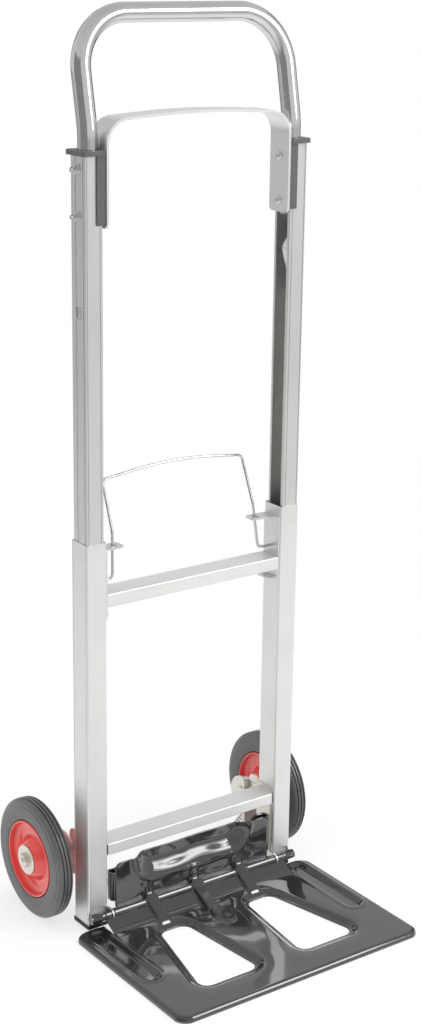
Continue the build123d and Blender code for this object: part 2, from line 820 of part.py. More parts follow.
def tyre():
    """Solid ribbed tyre."""
    radius = wheel_diameter / 2
    middle = (tyre_inner_x + tyre_outer_x) / 2
    tread = [
        (tyre_inner_x + tyre_bulge, rim_seat),
        (tyre_inner_x, rim_seat + shoulder),
        (tyre_inner_x, radius - 2 * shoulder),
        (tyre_inner_x + shoulder / 2, radius - shoulder / 2),
        (tyre_inner_x + shoulder, radius - shoulder / 8),
    ]
    for x in (middle - tread_groove_step, middle, middle + tread_groove_step):
        tread += [
            (x - tread_groove / 2, radius),
            (x - tread_groove / 3, radius - tread_groove_depth),
            (x + tread_groove / 3, radius - tread_groove_depth),
            (x + tread_groove / 2, radius),
        ]
    tread += [
        (tyre_outer_x - shoulder, radius - shoulder / 8),
        (tyre_outer_x - shoulder / 2, radius - shoulder / 2),
        (tyre_outer_x, radius - 2 * shoulder),
        (tyre_outer_x, rim_seat + shoulder),
        (tyre_outer_x - tyre_bulge, rim_seat),
    ]
    return lathe(tread)


def hub_half(rim_x, middle_x, nose_x):
    """One pressed half of a hub, from its rim to its nose."""
    out = 1 if rim_x > middle_x else -1
    skin = out * hub_sheet
    seat = rim_seat - hole_gap
    bush = bush_diameter / 2
    points = [
        (middle_x, seat),
        (rim_x, seat),
        (rim_x, seat - hub_sheet),
        (middle_x + 3 * skin, seat - 2 * hub_sheet),
        (middle_x + skin, hub_web),
        (middle_x + skin, hub_cone),
        (nose_x, hub_nose),
        (nose_x, bush),
        (nose_x - skin, bush),
        (nose_x - skin, hub_nose - hub_sheet),
        (middle_x, hub_cone - hub_sheet),
    ]
    return lathe(points)


def bush():
    """Steel tube in the hub that runs on the stub axle."""
    solid = bar_x(hub_back_x, hub_nose_x, axle_back, axle_z, bush_diameter)
    return solid - bar_x(hub_back_x - cut_past, hub_nose_x + cut_past, axle_back, axle_z, axle_bore)


def axle():
    """Stub axle, headed on the bracket's inner face."""
    shaft = bar_x(web_inner_x, axle_end_x, axle_back, axle_z, axle_diameter)
    shaft = chamfer(shaft.edges().group_by(Axis.X)[-1], axle_chamfer)
    return shaft + bar_x(web_inner_x - axle_head_height, web_inner_x, axle_back, axle_z, axle_head)


def sleeve():
    """Spacer sleeve between bracket and hub."""
    end = hub_back_x - joint_gap
    solid = bar_x(web_outer_x, end, axle_back, axle_z, sleeve_diameter)
    return solid - bar_x(web_outer_x - cut_past, end + cut_past, axle_back, axle_z, axle_bore)


def axle_washer_ring():
    """Broad washer outside the hub."""
    x0 = hub_nose_x + joint_gap
    x1 = x0 + axle_washer_thickness
    solid = bar_x(x0, x1, axle_back, axle_z, axle_washer)
    solid = fillet(solid.edges().group_by(Axis.X)[-1], axle_washer_thickness / 2)
    return solid - bar_x(x0 - cut_past, x1 + cut_past, axle_back, axle_z, axle_bore)


def axle_nut():
    """Hexagon nut on the axle's end."""
    x0 = hub_nose_x + joint_gap + axle_washer_thickness
    hexagon = Plane.YZ * RegularPolygon(axle_nut_flats / 2, 6, major_radius=False)
    solid = extrude(Pos(x0, axle_back, axle_z) * hexagon, amount=axle_nut_height, dir=(1, 0, 0))
    end = bar_x(x0, x0 + axle_nut_height, axle_back, axle_z, axle_nut_flats * hex_corner)
    end = chamfer(end.edges().group_by(Axis.X)[-1], axle_nut_chamfer)
    solid = solid & end
    return solid - bar_x(x0 - cut_past, axle_end_x + cut_past, axle_back, axle_z, axle_bore)


def biarc(start, heading, end, arrival):
    """Two arcs from one point and direction to another, meeting smoothly."""
    chord = end - start
    turn = heading + arrival
    square = 4 - turn.dot(turn)
    slant = chord.dot(turn)
    reach = (-slant + sqrt(slant * slant + square * chord.dot(chord))) / square
    first = start + heading * reach
    second = end - arrival * reach
    middle = (first + second) * 0.5
    across = (second - first).normalized()
    return [Edge.make_tangent_arc(start, heading, middle), Edge.make_tangent_arc(middle, across, end)]


def spring_path():
    """Centre line of the right-hand wheel spring, hook to hook."""
    top = Vector(web_inner_x - hook_stand, hook_y, hook_z)
    foot = Vector(anchor_x, hook_y, strap_top + hook_stand)
    along = (foot - top).normalized()
    side = Vector(0, 1, 0)
    up = along.cross(side)
    coil_length = spring_turns * spring_pitch
    lead = ((foot - top).length - coil_length) / 2
    coil_start = top + along * lead
    radius = (coil_diameter - spring_wire) / 2
    climb = spring_pitch / (2 * pi * radius)

    def place(turns):
        angle = 2 * pi * turns
        return coil_start + along * (spring_pitch * turns) + side * (radius * cos(angle)) + up * (
            radius * sin(angle))

    def heading(turns):
        angle = 2 * pi * turns
        return (up * cos(angle) - side * sin(angle) + along * climb).normalized()

    outside = web_outer_x + hook_stand
    under = strap_bottom - hook_stand
    upper = [
        Vector(outside, hook_y, hook_z - hook_tail),
        Vector(outside, hook_y, hook_z),
        top,
        top + along * (lead - lead_in),
    ]
    lower = [
        foot - along * (lead - lead_in),
        foot,
        Vector(anchor_x, hook_y, under),
        Vector(anchor_x + hook_tail, hook_y, under),
    ]
    edges = list(FilletPolyline(*upper, radius=hook_bend).edges())
    edges += biarc(upper[-1], along, place(0), heading(0))
    for half in range(2 * spring_turns):
        edges += biarc(place(half / 2), heading(half / 2), place((half + 1) / 2), heading((half + 1) / 2))
    edges += biarc(place(spring_turns), heading(spring_turns), lower[0], along)
    edges += list(FilletPolyline(*lower, radius=hook_bend).edges())
    return Wire(edges)


def wheel_spring():
    """Tension spring from a wheel bracket's web down to the strap."""
    path = spring_path()
    start = Plane(origin=path @ 0, z_dir=path % 0)
    print("least gap of the spring to itself", round(least_gap(path), 2), "mm")
    return sweep(start * Circle(spring_wire / 2), path=path)


def least_gap(path):
    """Smallest clear space between turns, measured on points of the line."""
    count = 40 * spring_turns
    step = path.length / count
    points = [path @ (i / count) for i in range(count + 1)]
    apart = int(pi * (coil_diameter - spring_wire) / 2 / step)
    gaps = [(a - b).length for i, a in enumerate(points) for b in points[i + apart:]]
    return min(gaps) - spring_wire


def main():
    """Build every node and write it."""
    os.makedirs("parts", exist_ok=True)
    handed = {
        "upright": upright(),
        "channel": channel(),
        "cap": cap(),
        "leaf_spring": leaf(),
        "snap_button": button(),
        "latch_plate": latch_plate(),
        "hinge_plate": hinge_plate(),
        "pivot_pin": pivot_pin(),
        "wheel_bracket": wheel_bracket(),
        "foot_cap": foot_cap(),
        "tyre": tyre(),
        "hub_outer": hub_half(tyre_outer_x - tyre_bulge, (tyre_inner_x + tyre_outer_x) / 2, hub_nose_x),
        "hub_inner": hub_half(tyre_inner_x + tyre_bulge, (tyre_inner_x + tyre_outer_x) / 2, hub_back_x),
        "bush": bush(),
        "axle": axle(),
        "axle_sleeve": sleeve(),
        "axle_washer": axle_washer_ring(),
        "axle_nut": axle_nut(),
        "wheel_spring": wheel_spring(),
    }
    for name, solid in handed.items():
        for side, piece in pair(solid):
            save(name + "_" + side, piece)
    for name, maker in (("handle_bolts", bolt), ("handle_washers", washer), ("handle_nuts", nut)):
        save(name, group(piece for z in (bolt_z_low, bolt_z_high) for side, piece in pair(maker(z))))
    save("leaf_rivets", group(piece for side, piece in pair(leaf_rivet())))
    save("grip_tube", grip_tube())
    save("bow", bow())
    save("bail", bail())
    save("upper_crossbar", crossbar(upper_bar_top, upper_bar_height))
    save("lower_crossbar", crossbar(lower_bar_top, lower_bar_height))
    save("spring_strap", strap())
    save("hinge_rod", hinge_rod())
    save("toe_plate", toe_plate())


main()
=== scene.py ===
import json
import logging
import math
from collections.abc import Callable
from dataclasses import dataclass
from enum import Enum

import bmesh
import bpy
import numpy as np
from mathutils import Matrix


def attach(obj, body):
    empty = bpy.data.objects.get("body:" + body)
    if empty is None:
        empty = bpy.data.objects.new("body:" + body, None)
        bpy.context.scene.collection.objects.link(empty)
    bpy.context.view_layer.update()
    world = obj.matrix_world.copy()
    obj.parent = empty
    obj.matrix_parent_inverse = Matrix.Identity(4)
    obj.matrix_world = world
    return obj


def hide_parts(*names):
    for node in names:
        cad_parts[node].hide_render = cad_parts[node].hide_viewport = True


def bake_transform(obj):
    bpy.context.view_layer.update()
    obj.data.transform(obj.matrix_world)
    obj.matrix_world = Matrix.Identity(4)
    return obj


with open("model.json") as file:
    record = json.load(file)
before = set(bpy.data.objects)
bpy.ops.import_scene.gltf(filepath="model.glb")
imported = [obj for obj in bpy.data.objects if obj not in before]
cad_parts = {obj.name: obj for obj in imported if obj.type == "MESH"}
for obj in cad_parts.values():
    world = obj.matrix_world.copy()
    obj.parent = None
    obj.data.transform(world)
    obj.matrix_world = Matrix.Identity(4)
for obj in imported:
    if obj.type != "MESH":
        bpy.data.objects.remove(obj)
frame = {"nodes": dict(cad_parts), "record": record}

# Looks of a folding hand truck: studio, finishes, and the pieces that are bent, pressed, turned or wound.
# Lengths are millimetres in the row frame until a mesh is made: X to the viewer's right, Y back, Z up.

LOG = logging.getLogger("hand_truck")
MM = 0.001
FRONT_Y = 37.0  # the uprights' front faces, in the row frame


class Side(Enum):
    """The truck's two sides, as the sign of X."""

    LEFT = -1
    RIGHT = 1

    @property
    def word(self) -> str:
        """The side as names of nodes and bodies end."""
        return self.name.lower()


# Small tools


def unit(vectors: np.ndarray) -> np.ndarray:
    """Bring each vector to a length of 1."""
    return vectors / np.linalg.norm(vectors, axis=-1, keepdims=True)


def run_along(path: np.ndarray) -> np.ndarray:
    """The distance of each point of a path from its first one, along the path."""
    return np.concatenate([[0.0], np.cumsum(np.linalg.norm(np.diff(path, axis=0), axis=1))])


def placing(right: np.ndarray, up: np.ndarray, back: np.ndarray, place_m: np.ndarray) -> Matrix:
    """Stand a camera or a lamp in the studio.

    Args:
        right: Its axis to the right.
        up: Its axis upwards.
        back: Its axis away from what it faces.
        place_m: Where it stands, in metres.

    Returns:
        Its world matrix.
    """
    place = np.eye(4)
    place[:3] = np.stack([right, up, back, place_m], axis=-1)
    return Matrix(place.tolist())


def new_object(name: str, data: bpy.types.ID) -> bpy.types.Object:
    """Make an object at the origin.

    Args:
        name: Its name.
        data: Its mesh, lamp or camera.

    Returns:
        The object, linked to the scene.
    """
    made = bpy.data.objects.new(name, data)
    bpy.context.scene.collection.objects.link(made)
    return made


# Colour and nodes


def linear(code: str) -> tuple[float, float, float, float]:
    """Turn an sRGB hex code into linear light.

    Args:
        code: Six hex digits after a hash sign.

    Returns:
        Red, green and blue in linear light, and an alpha of 1.
    """
    srgb = np.array([int(code[i:i + 2], 16) for i in (1, 3, 5)]) / 255
    light = np.where(srgb <= 0.04045, srgb / 12.92, ((srgb + 0.055) / 1.055) ** 2.4)
    return (*light.tolist(), 1.0)


def add_node(tree: bpy.types.NodeTree, kind: str, inputs: dict | None = None, **settings) -> bpy.types.Node:
    """Add one node, with its settings and its links.

    Args:
        tree: The tree that takes the node.
        kind: The node's type name.
        inputs: Input names or numbers, each with a socket to link from or a plain value.
        settings: The node's own properties.

    Returns:
        The new node.
    """
    node = tree.nodes.new(kind)
    for name, value in settings.items():
        setattr(node, name, value)
    for name, value in (inputs or {}).items():
        if isinstance(value, bpy.types.NodeSocket):
            tree.links.new(value, node.inputs[name])
        else:
            node.inputs[name].default_value = value
    return node


def bare_material(name: str) -> bpy.types.Material:
    """Start a material for the studio.

    Args:
        name: Its name.

    Returns:
        The material, with nothing but its output node.
    """
    made = bpy.data.materials.new(name)
    made.use_nodes = True
    made.node_tree.nodes.remove(made.node_tree.nodes["Principled BSDF"])
    return made


def per_metre(*sizes_mm: float) -> tuple[float, ...]:
    """Turn the real sizes of a pattern along X, Y and Z into repeats per metre."""
    return tuple(1000 / size for size in sizes_mm)


# Finishes

GRAIN_RANGE = (0.3, 0.7)  # where nearly all of the grain's noise lies
PATCH_RANGE = (0.42, 0.68)  # of the patches' noise, from none to the whole share


@dataclass(frozen=True)
class Finish:
    """A real material and how its surface was made.

    A noise stretched to the sizes in grain_mm mixes the two colours, spreads the roughness and makes
    the bump. Broad patches of the blotch tone may lie over the colour.
    """

    name: str
    colour: str
    second: str
    metallic: float = 0.0
    roughness: float = 0.4
    spread: float = 0.05
    grain_mm: tuple[float, float, float] = (2.0, 2.0, 2.0)
    relief_mm: float = 0.01
    detail: float = 3.0
    ior: float = 1.5
    coat: float = 0.0
    coat_roughness: float = 0.05
    blotch_mm: float = 60.0
    blotch: str = "#ffffff"
    blotch_share: float = 0.0

    def material(self) -> bpy.types.Material:
        """Build the material's nodes.

        Returns:
            The material, made once and then found by its name.
        """
        made = bpy.data.materials.get(self.name)
        if made:
            return made
        made = bpy.data.materials.new(self.name)
        made.use_nodes = True
        tree = made.node_tree
        shader = tree.nodes["Principled BSDF"]
        shader.inputs["Metallic"].default_value = self.metallic
        shader.inputs["Coat Weight"].default_value = self.coat
        shader.inputs["Coat Roughness"].default_value = self.coat_roughness
        if not self.metallic:
            shader.inputs["IOR"].default_value = self.ior
        place = add_node(tree, "ShaderNodeTexCoord").outputs["Object"]
        sized = add_node(tree, "ShaderNodeMapping", {"Vector": place, "Scale": per_metre(*self.grain_mm)})
        grain = add_node(tree, "ShaderNodeTexNoise", {
            "Vector": sized.outputs[0], "Scale": 1.0, "Detail": self.detail, "Roughness": 0.6})
        value = grain.outputs["Fac"]
        colour = add_node(tree, "ShaderNodeMix", {
            0: value, 6: linear(self.colour), 7: linear(self.second)}, data_type="RGBA").outputs[2]
        colour = self.blotched(tree, place, colour)
        tree.links.new(colour, shader.inputs["Base Color"])
        rough = add_node(tree, "ShaderNodeMapRange", {
            "Value": value, 1: GRAIN_RANGE[0], 2: GRAIN_RANGE[1], 3: self.roughness - self.spread,
            4: self.roughness + self.spread})
        tree.links.new(rough.outputs[0], shader.inputs["Roughness"])
        bump = add_node(tree, "ShaderNodeBump", {
            "Height": value, "Distance": self.relief_mm * MM, "Strength": 1.0})
        tree.links.new(bump.outputs[0], shader.inputs["Normal"])
        return made

    def blotched(self, tree: bpy.types.NodeTree, place: bpy.types.NodeSocket,
                 colour: bpy.types.NodeSocket) -> bpy.types.NodeSocket:
        """Lay broad soft patches of another tone over a colour.

        Args:
            tree: The material's nodes.
            place: Object coordinates.
            colour: The colour so far.

        Returns:
            The patched colour, or the colour as it was where no share is given.
        """
        if not self.blotch_share:
            return colour
        patches = add_node(tree, "ShaderNodeTexNoise", {
            "Vector": place, "Scale": per_metre(self.blotch_mm)[0], "Detail": 2.0})
        share = add_node(tree, "ShaderNodeMapRange", {
            "Value": patches.outputs["Fac"], 1: PATCH_RANGE[0], 2: PATCH_RANGE[1], 3: 0.0,
            4: self.blotch_share})
        return add_node(tree, "ShaderNodeMix", {
            0: share.outputs[0], 6: colour, 7: linear(self.blotch)}, data_type="RGBA").outputs[2]


# Extruded aluminium, satin anodised: pale grey that scatters a little, with fine die lines along the length.
UPRIGHT_ALUMINIUM = Finish("extruded_aluminium_upright", "#e6e6e4", "#dcdcda", 0.8, 0.40, 0.04,
                           (0.5, 0.5, 160.0), 0.004, blotch="#d2d2d0", blotch_share=0.3)
# The same metal on the crossbars, with its die lines across.
CROSSBAR_ALUMINIUM = Finish("extruded_aluminium_crossbar", "#ebebe9", "#e2e2e0", 0.75, 0.42, 0.04,
                            (160.0, 0.5, 0.5), 0.004, blotch="#d4d4d2", blotch_share=0.25)
# The same metal on the sliding channels, a shade darker than on the uprights.
CHANNEL_ALUMINIUM = Finish("extruded_aluminium_channel", "#d8d8d6", "#cececc", 0.85, 0.38, 0.04,
                           (0.5, 0.5, 160.0), 0.004, blotch="#c6c6c4", blotch_share=0.3)
# Pressed in at the foot: a paler, duller copy of the uprights' aluminium, painted light so the wall in shade
# stays light beside the black toe plate.
FOOT_ALUMINIUM = Finish("pressed_aluminium_foot", "#efefed", "#e6e6e4", 0.15, 0.5, 0.04)
# Rolled aluminium strip: brighter, with a soft grain along the strip.
BOW_ALUMINIUM = Finish("rolled_aluminium_bow", "#e4e4e2", "#dadad8", 0.8, 0.36, 0.04,
                       (40.0, 0.6, 40.0), 0.004)
# Chromed tube: bright as a mirror, its reflections a little soft, with faint darker patches.
GRIP_CHROME = Finish("chromed_grip_tube", "#d8d8da", "#d0d1d3", 1.0, 0.13, 0.005, (30.0, 4.0, 4.0), 0.0,
                     blotch="#bcbcbe", blotch_share=0.2)
# Textured ABS: dark grey, fine mould grain.
CAP_PLASTIC = Finish("textured_abs_cap", "#606062", "#545456", 0.0, 0.52, 0.08, (0.9, 0.9, 0.9), 0.03, 4.0)
# Moulded polythene: near black and dull.
FOOT_PLASTIC = Finish("moulded_polythene_foot", "#1d1d1d", "#161616", 0.0, 0.5, 0.08, (1.2, 1.2, 1.2), 0.02)
# Zinc plated steel: pale, faintly warm, with a cloudy spangle.
ZINC_STEEL = Finish("zinc_plated_steel", "#e6e2dc", "#d8d3cb", 0.75, 0.32, 0.06, (3.0, 3.0, 3.0), 0.006,
                    blotch="#d6cfc0", blotch_share=0.4, blotch_mm=14.0)
# Bright zinc on bolts, washers and nuts: cooler and shinier than the plates.
BRIGHT_ZINC = Finish("bright_zinc_fasteners", "#dddee0", "#cfd0d2", 1.0, 0.22, 0.05, (2.0, 2.0, 2.0), 0.004)
# Satin zinc on the latch plates: cool, smooth and even.
LATCH_ZINC = Finish("satin_zinc_latch_plate", "#dadad9", "#d0d0cf", 0.9, 0.33, 0.03, (2.0, 2.0, 2.0), 0.002)
# Drawn spring wire: bright, with a hard white line along it.
WIRE_STEEL = Finish("bright_drawn_wire", "#dededd", "#cdcdcc", 1.0, 0.18, 0.04, (1.0, 1.0, 6.0), 0.003)
# Gloss black stoving enamel under clear lacquer: deep, with the slight waviness of a sprayed coat.
TOE_ENAMEL = Finish("gloss_black_enamel", "#262626", "#202020", 0.0, 0.10, 0.03, (6.0, 6.0, 6.0), 0.012, 2.0,
                    ior=1.6, coat=1.0, coat_roughness=0.06)
# Red stoving enamel on pressed steel: bright, its reflections softer than the toe plate's.
HUB_ENAMEL = Finish("gloss_red_enamel", "#ee5650", "#e34a46", 0.0, 0.20, 0.04, (3.0, 3.0, 3.0), 0.01, 2.0,
                    coat=0.6)
# Moulded rubber: dark grey with a low sheen, and a little bloom.
TYRE_RUBBER = Finish("moulded_tyre_rubber", "#5e5e5e", "#545454", 0.0, 0.30, 0.06, (1.6, 1.6, 1.6), 0.02,
                     blotch="#676765", blotch_share=0.5, blotch_mm=30.0)

SLOT_FINISH = {
    "frame_aluminium": UPRIGHT_ALUMINIUM,
    "bow_aluminium": BOW_ALUMINIUM,
    "polished_tube": GRIP_CHROME,
    "cap_plastic": CAP_PLASTIC,
    "foot_plastic": FOOT_PLASTIC,
    "zinc_steel": ZINC_STEEL,
    "spring_steel": WIRE_STEEL,
    "toe_black": TOE_ENAMEL,
    "tyre_rubber": TYRE_RUBBER,
    "hub_red": HUB_ENAMEL,
}
NODE_FINISH = {
    "channel_left": CHANNEL_ALUMINIUM,
    "channel_right": CHANNEL_ALUMINIUM,
    "latch_plate_left": LATCH_ZINC,
    "latch_plate_right": LATCH_ZINC,
    "upper_crossbar": CROSSBAR_ALUMINIUM,
    "lower_crossbar": CROSSBAR_ALUMINIUM,
    "handle_bolts": BRIGHT_ZINC,
    "handle_washers": BRIGHT_ZINC,
    "handle_nuts": BRIGHT_ZINC,
}


# Studio


@dataclass(frozen=True)
class Lamp:
    """A rectangular soft lamp. A glint lamp shows only in gloss, and the others only light."""

    name: str
    place_m: tuple[float, float, float]
    aim_m: tuple[float, float, float]
    size_m: tuple[float, float]
    watts: float
    glint: bool = False

    def hang(self) -> None:
        """Hang the lamp at its place, level across and facing its aim."""
        data = bpy.data.lights.new(self.name, "AREA")
        data.shape = "RECTANGLE"
        data.size, data.size_y = self.size_m
        data.energy = self.watts
        lamp = new_object(self.name, data)
        lamp.visible_glossy, lamp.visible_diffuse = self.glint, not self.glint
        back = unit(np.array(self.place_m) - np.array(self.aim_m))
        across = unit(np.cross((0.0, 0.0, 1.0), back))
        lamp.matrix_world = placing(across, np.cross(back, across), back, np.array(self.place_m))


@dataclass(frozen=True)
class Flag:
    """A curved flag that shows only in gloss, where it draws the dark lines on polished tube.

    Its arc goes from one heading to another, turning left from +X.
    """

    name: str
    arc_deg: tuple[float, float]
    tone: float
    radius_m: float = 3.4
    height_m: tuple[float, float] = (0.1, 2.8)
    steps: int = 25

    def stand(self) -> None:
        """Stand the flag: an arc of a circle about the truck, carried up between its two heights."""
        angle = np.radians(np.linspace(*self.arc_deg, self.steps))
        foot = self.radius_m * np.stack([np.cos(angle), np.sin(angle)], axis=-1)
        points = np.concatenate([np.c_[foot, np.full(self.steps, height)] for height in self.height_m])
        mesh = bpy.data.meshes.new(self.name)
        mesh.from_pydata(points.tolist(), [], grid_faces(2, self.steps).tolist())
        felt = bare_material(f"{self.name}_felt")
        tree = felt.node_tree
        even = add_node(tree, "ShaderNodeEmission", {"Color": (1, 1, 1, 1), "Strength": self.tone})
        tree.links.new(even.outputs[0], tree.nodes["Material Output"].inputs["Surface"])
        mesh.materials.append(felt)
        flag = new_object(self.name, mesh)
        flag.visible_camera = flag.visible_diffuse = flag.visible_shadow = flag.visible_transmission = False


@dataclass
class Studio:
    """Pale floor, soft lamps and the photograph's camera."""

    camera_mm: tuple[float, float, float] = (-1217.15, FRONT_Y - 1703.31, 1152.45)
    yaw_deg: float = 36.003
    pitch_deg: float = 17.094
    roll_deg: float = -0.791
    focal_px: float = 1859.216
    frame_px: tuple[int, int] = (422, 1024)
    sensor_mm: float = 36.0
    floor_m: float = 60.0
    floor_colour: str = "#f4f4f4"
    floor_glow: tuple[float, float] = (0.72, 1.0)  # share of white over the paper, near and far
    glow_from_m: tuple[float, float] = (0.45, 1.6)
    near_light: float = 1.1  # the floor to mirrors: close by, far off, and to the left
    far_m: tuple[float, float] = (1.3, 3.2)
    far_grey: float = 0.64
    left_m: tuple[float, float] = (-1.3, -0.2)
    left_grey: float = 0.8
    soft_light: float = 0.55  # the world to surfaces, and to mirrors from horizon to zenith
    horizon_grey: float = 0.84
    zenith_grey: float = 0.62
    clip_end_m: float = 200.0
    lamps: tuple[Lamp, ...] = (
        Lamp("overhead", (0.3, -0.4, 3.2), (0.0, 0.0, 0.5), (3.0, 3.0), 60.0),
        Lamp("key", (2.2, -2.4, 2.0), (0.0, 0.0, 0.5), (1.6, 2.2), 50.0),
        Lamp("left", (-2.6, 0.6, 1.6), (0.0, 0.0, 0.5), (1.2, 2.2), 14.0),
        Lamp("tall_softbox", (1.7, -2.3, 1.68), (0.0, 0.0, 0.9), (0.8, 1.0), 5.5, glint=True),
        Lamp("far_softbox", (2.5, -3.4, 2.7), (0.0, 0.0, 0.06), (1.1, 0.7), 13.0, glint=True),
        Lamp("high_softbox", (1.1, -1.08, 1.56), (1.1, 0.0, 0.0), (0.6, 0.5), 9.0, glint=True))
    flags: tuple[Flag, ...] = (
        Flag("camera_flag", (155.0, 236.0), 0.3),
        Flag("back_left_flag", (72.0, 94.0), 0.12),
        Flag("back_right_flag", (8.0, 33.0), 0.12))

    def camera(self) -> None:
        """Set the camera from its place, its heading and its focal length."""
        yaw, pitch, roll = (math.radians(a) for a in (self.yaw_deg, self.pitch_deg, self.roll_deg))
        ahead = np.array([math.sin(yaw) * math.cos(pitch), math.cos(yaw) * math.cos(pitch), -math.sin(pitch)])
        right = np.array([math.cos(yaw), -math.sin(yaw), 0.0])
        down = np.cross(ahead, right)
        across = math.cos(roll) * right + math.sin(roll) * down
        down = -math.sin(roll) * right + math.cos(roll) * down
        data = bpy.data.cameras.new("camera")
        data.sensor_width = self.sensor_mm
        data.lens = self.focal_px / max(self.frame_px) * self.sensor_mm
        data.clip_end = self.clip_end_m
        camera = new_object("camera", data)
        camera.matrix_world = placing(across, -down, -ahead, np.array(self.camera_mm) * MM)
        bpy.context.scene.camera = camera

    def floor(self) -> None:
        """Lay a pale floor that stays white to the eye and keeps the shadow.

        To mirrors it greys far off and to the left, as the ends of a real studio do.
        """
        half = self.floor_m / 2
        corners = np.array([(-half, -half, 0), (half, -half, 0), (half, half, 0), (-half, half, 0)])
        mesh = bpy.data.meshes.new("floor")
        mesh.from_pydata(corners.tolist(), [], [(0, 1, 2, 3)])
        floor = new_object("floor", mesh)
        made = bare_material("paper_floor")
        tree = made.node_tree
        paper = add_node(tree, "ShaderNodeBsdfDiffuse", {"Color": linear(self.floor_colour)})
        path = add_node(tree, "ShaderNodeLightPath")
        place = add_node(tree, "ShaderNodeTexCoord").outputs["Object"]
        away = add_node(tree, "ShaderNodeVectorMath", {0: place}, operation="LENGTH").outputs["Value"]
        across = add_node(tree, "ShaderNodeSeparateXYZ", {0: place}).outputs["X"]
        near = add_node(tree, "ShaderNodeMapRange", {
            "Value": away, 1: self.glow_from_m[0], 2: self.glow_from_m[1], 3: self.floor_glow[0],
            4: self.floor_glow[1]}, interpolation_type="SMOOTHSTEP")
        far = add_node(tree, "ShaderNodeMapRange", {
            "Value": away, 1: self.far_m[0], 2: self.far_m[1], 3: self.near_light, 4: self.far_grey},
            interpolation_type="SMOOTHSTEP")
        left = add_node(tree, "ShaderNodeMapRange", {
            "Value": across, 1: self.left_m[0], 2: self.left_m[1], 3: self.left_grey, 4: 1.0})
        grey = add_node(tree, "ShaderNodeMath", {0: far.outputs[0], 1: left.outputs[0]}, operation="MULTIPLY")
        gloss = path.outputs["Is Glossy Ray"]
        bright = add_node(tree, "ShaderNodeMix", {0: gloss, 2: 1.0, 3: grey.outputs[0]})
        glow = add_node(tree, "ShaderNodeEmission", {"Color": (1, 1, 1, 1), "Strength": bright.outputs[0]})
        seen = add_node(tree, "ShaderNodeMath", {0: path.outputs["Is Camera Ray"], 1: gloss},
                        operation="MAXIMUM")
        share = add_node(tree, "ShaderNodeMath", {0: seen.outputs[0], 1: near.outputs[0]},
                         operation="MULTIPLY")
        mixed = add_node(tree, "ShaderNodeMixShader", {
            0: share.outputs[0], 1: paper.outputs[0], 2: glow.outputs[0]})
        tree.links.new(mixed.outputs[0], tree.nodes["Material Output"].inputs["Surface"])
        mesh.materials.append(made)

    def world(self) -> None:
        """White to the camera, a soft grey light to surfaces, and to mirrors a sky that greys overhead."""
        world = bpy.data.worlds.new("studio")
        bpy.context.scene.world = world
        world.use_nodes = True
        tree = world.node_tree
        path = add_node(tree, "ShaderNodeLightPath")
        place = add_node(tree, "ShaderNodeTexCoord").outputs["Generated"]
        height = add_node(tree, "ShaderNodeSeparateXYZ", {0: place}).outputs["Z"]
        sky = add_node(tree, "ShaderNodeMapRange", {
            "Value": height, 3: self.horizon_grey, 4: self.zenith_grey})
        seen = add_node(tree, "ShaderNodeMath", {
            0: path.outputs["Is Camera Ray"], 1: path.outputs["Is Transmission Ray"]}, operation="MAXIMUM")
        light = add_node(tree, "ShaderNodeMix", {
            0: path.outputs["Is Glossy Ray"], 2: self.soft_light, 3: sky.outputs[0]})
        light = add_node(tree, "ShaderNodeMix", {0: seen.outputs[0], 2: light.outputs[0], 3: 1.0})
        soft = tree.nodes["Background"]
        soft.inputs["Color"].default_value = (1, 1, 1, 1)
        tree.links.new(light.outputs[0], soft.inputs["Strength"])

    def build(self) -> None:
        """Set up the whole studio."""
        bpy.context.scene.view_settings.view_transform = "Standard"
        self.camera()
        self.floor()
        self.world()
        for lamp in self.lamps:
            lamp.hang()
        for flag in self.flags:
            flag.stand()


# Mesh making


def smooth_step(share: np.ndarray) -> np.ndarray:
    """Rise from 0 to 1 with level ends: 3 s squared less 2 s cubed."""
    clipped = np.clip(share, 0.0, 1.0)
    return clipped * clipped * (3 - 2 * clipped)


def grid_faces(rows: int, columns: int, close_columns: bool = False) -> np.ndarray:
    """Number the quads of a grid whose points run along its rows.

    Args:
        rows: Points down the grid.
        columns: Points along each row.
        close_columns: Whether each row closes on itself.

    Returns:
        One row of four point numbers for each quad.
    """
    number = np.arange(rows * columns).reshape(rows, columns)
    if close_columns:
        number = np.concatenate([number, number[:, :1]], axis=1)
    corners = (number[:-1, :-1], number[:-1, 1:], number[1:, 1:], number[1:, :-1])
    return np.stack(corners, axis=-1).reshape(-1, 4)


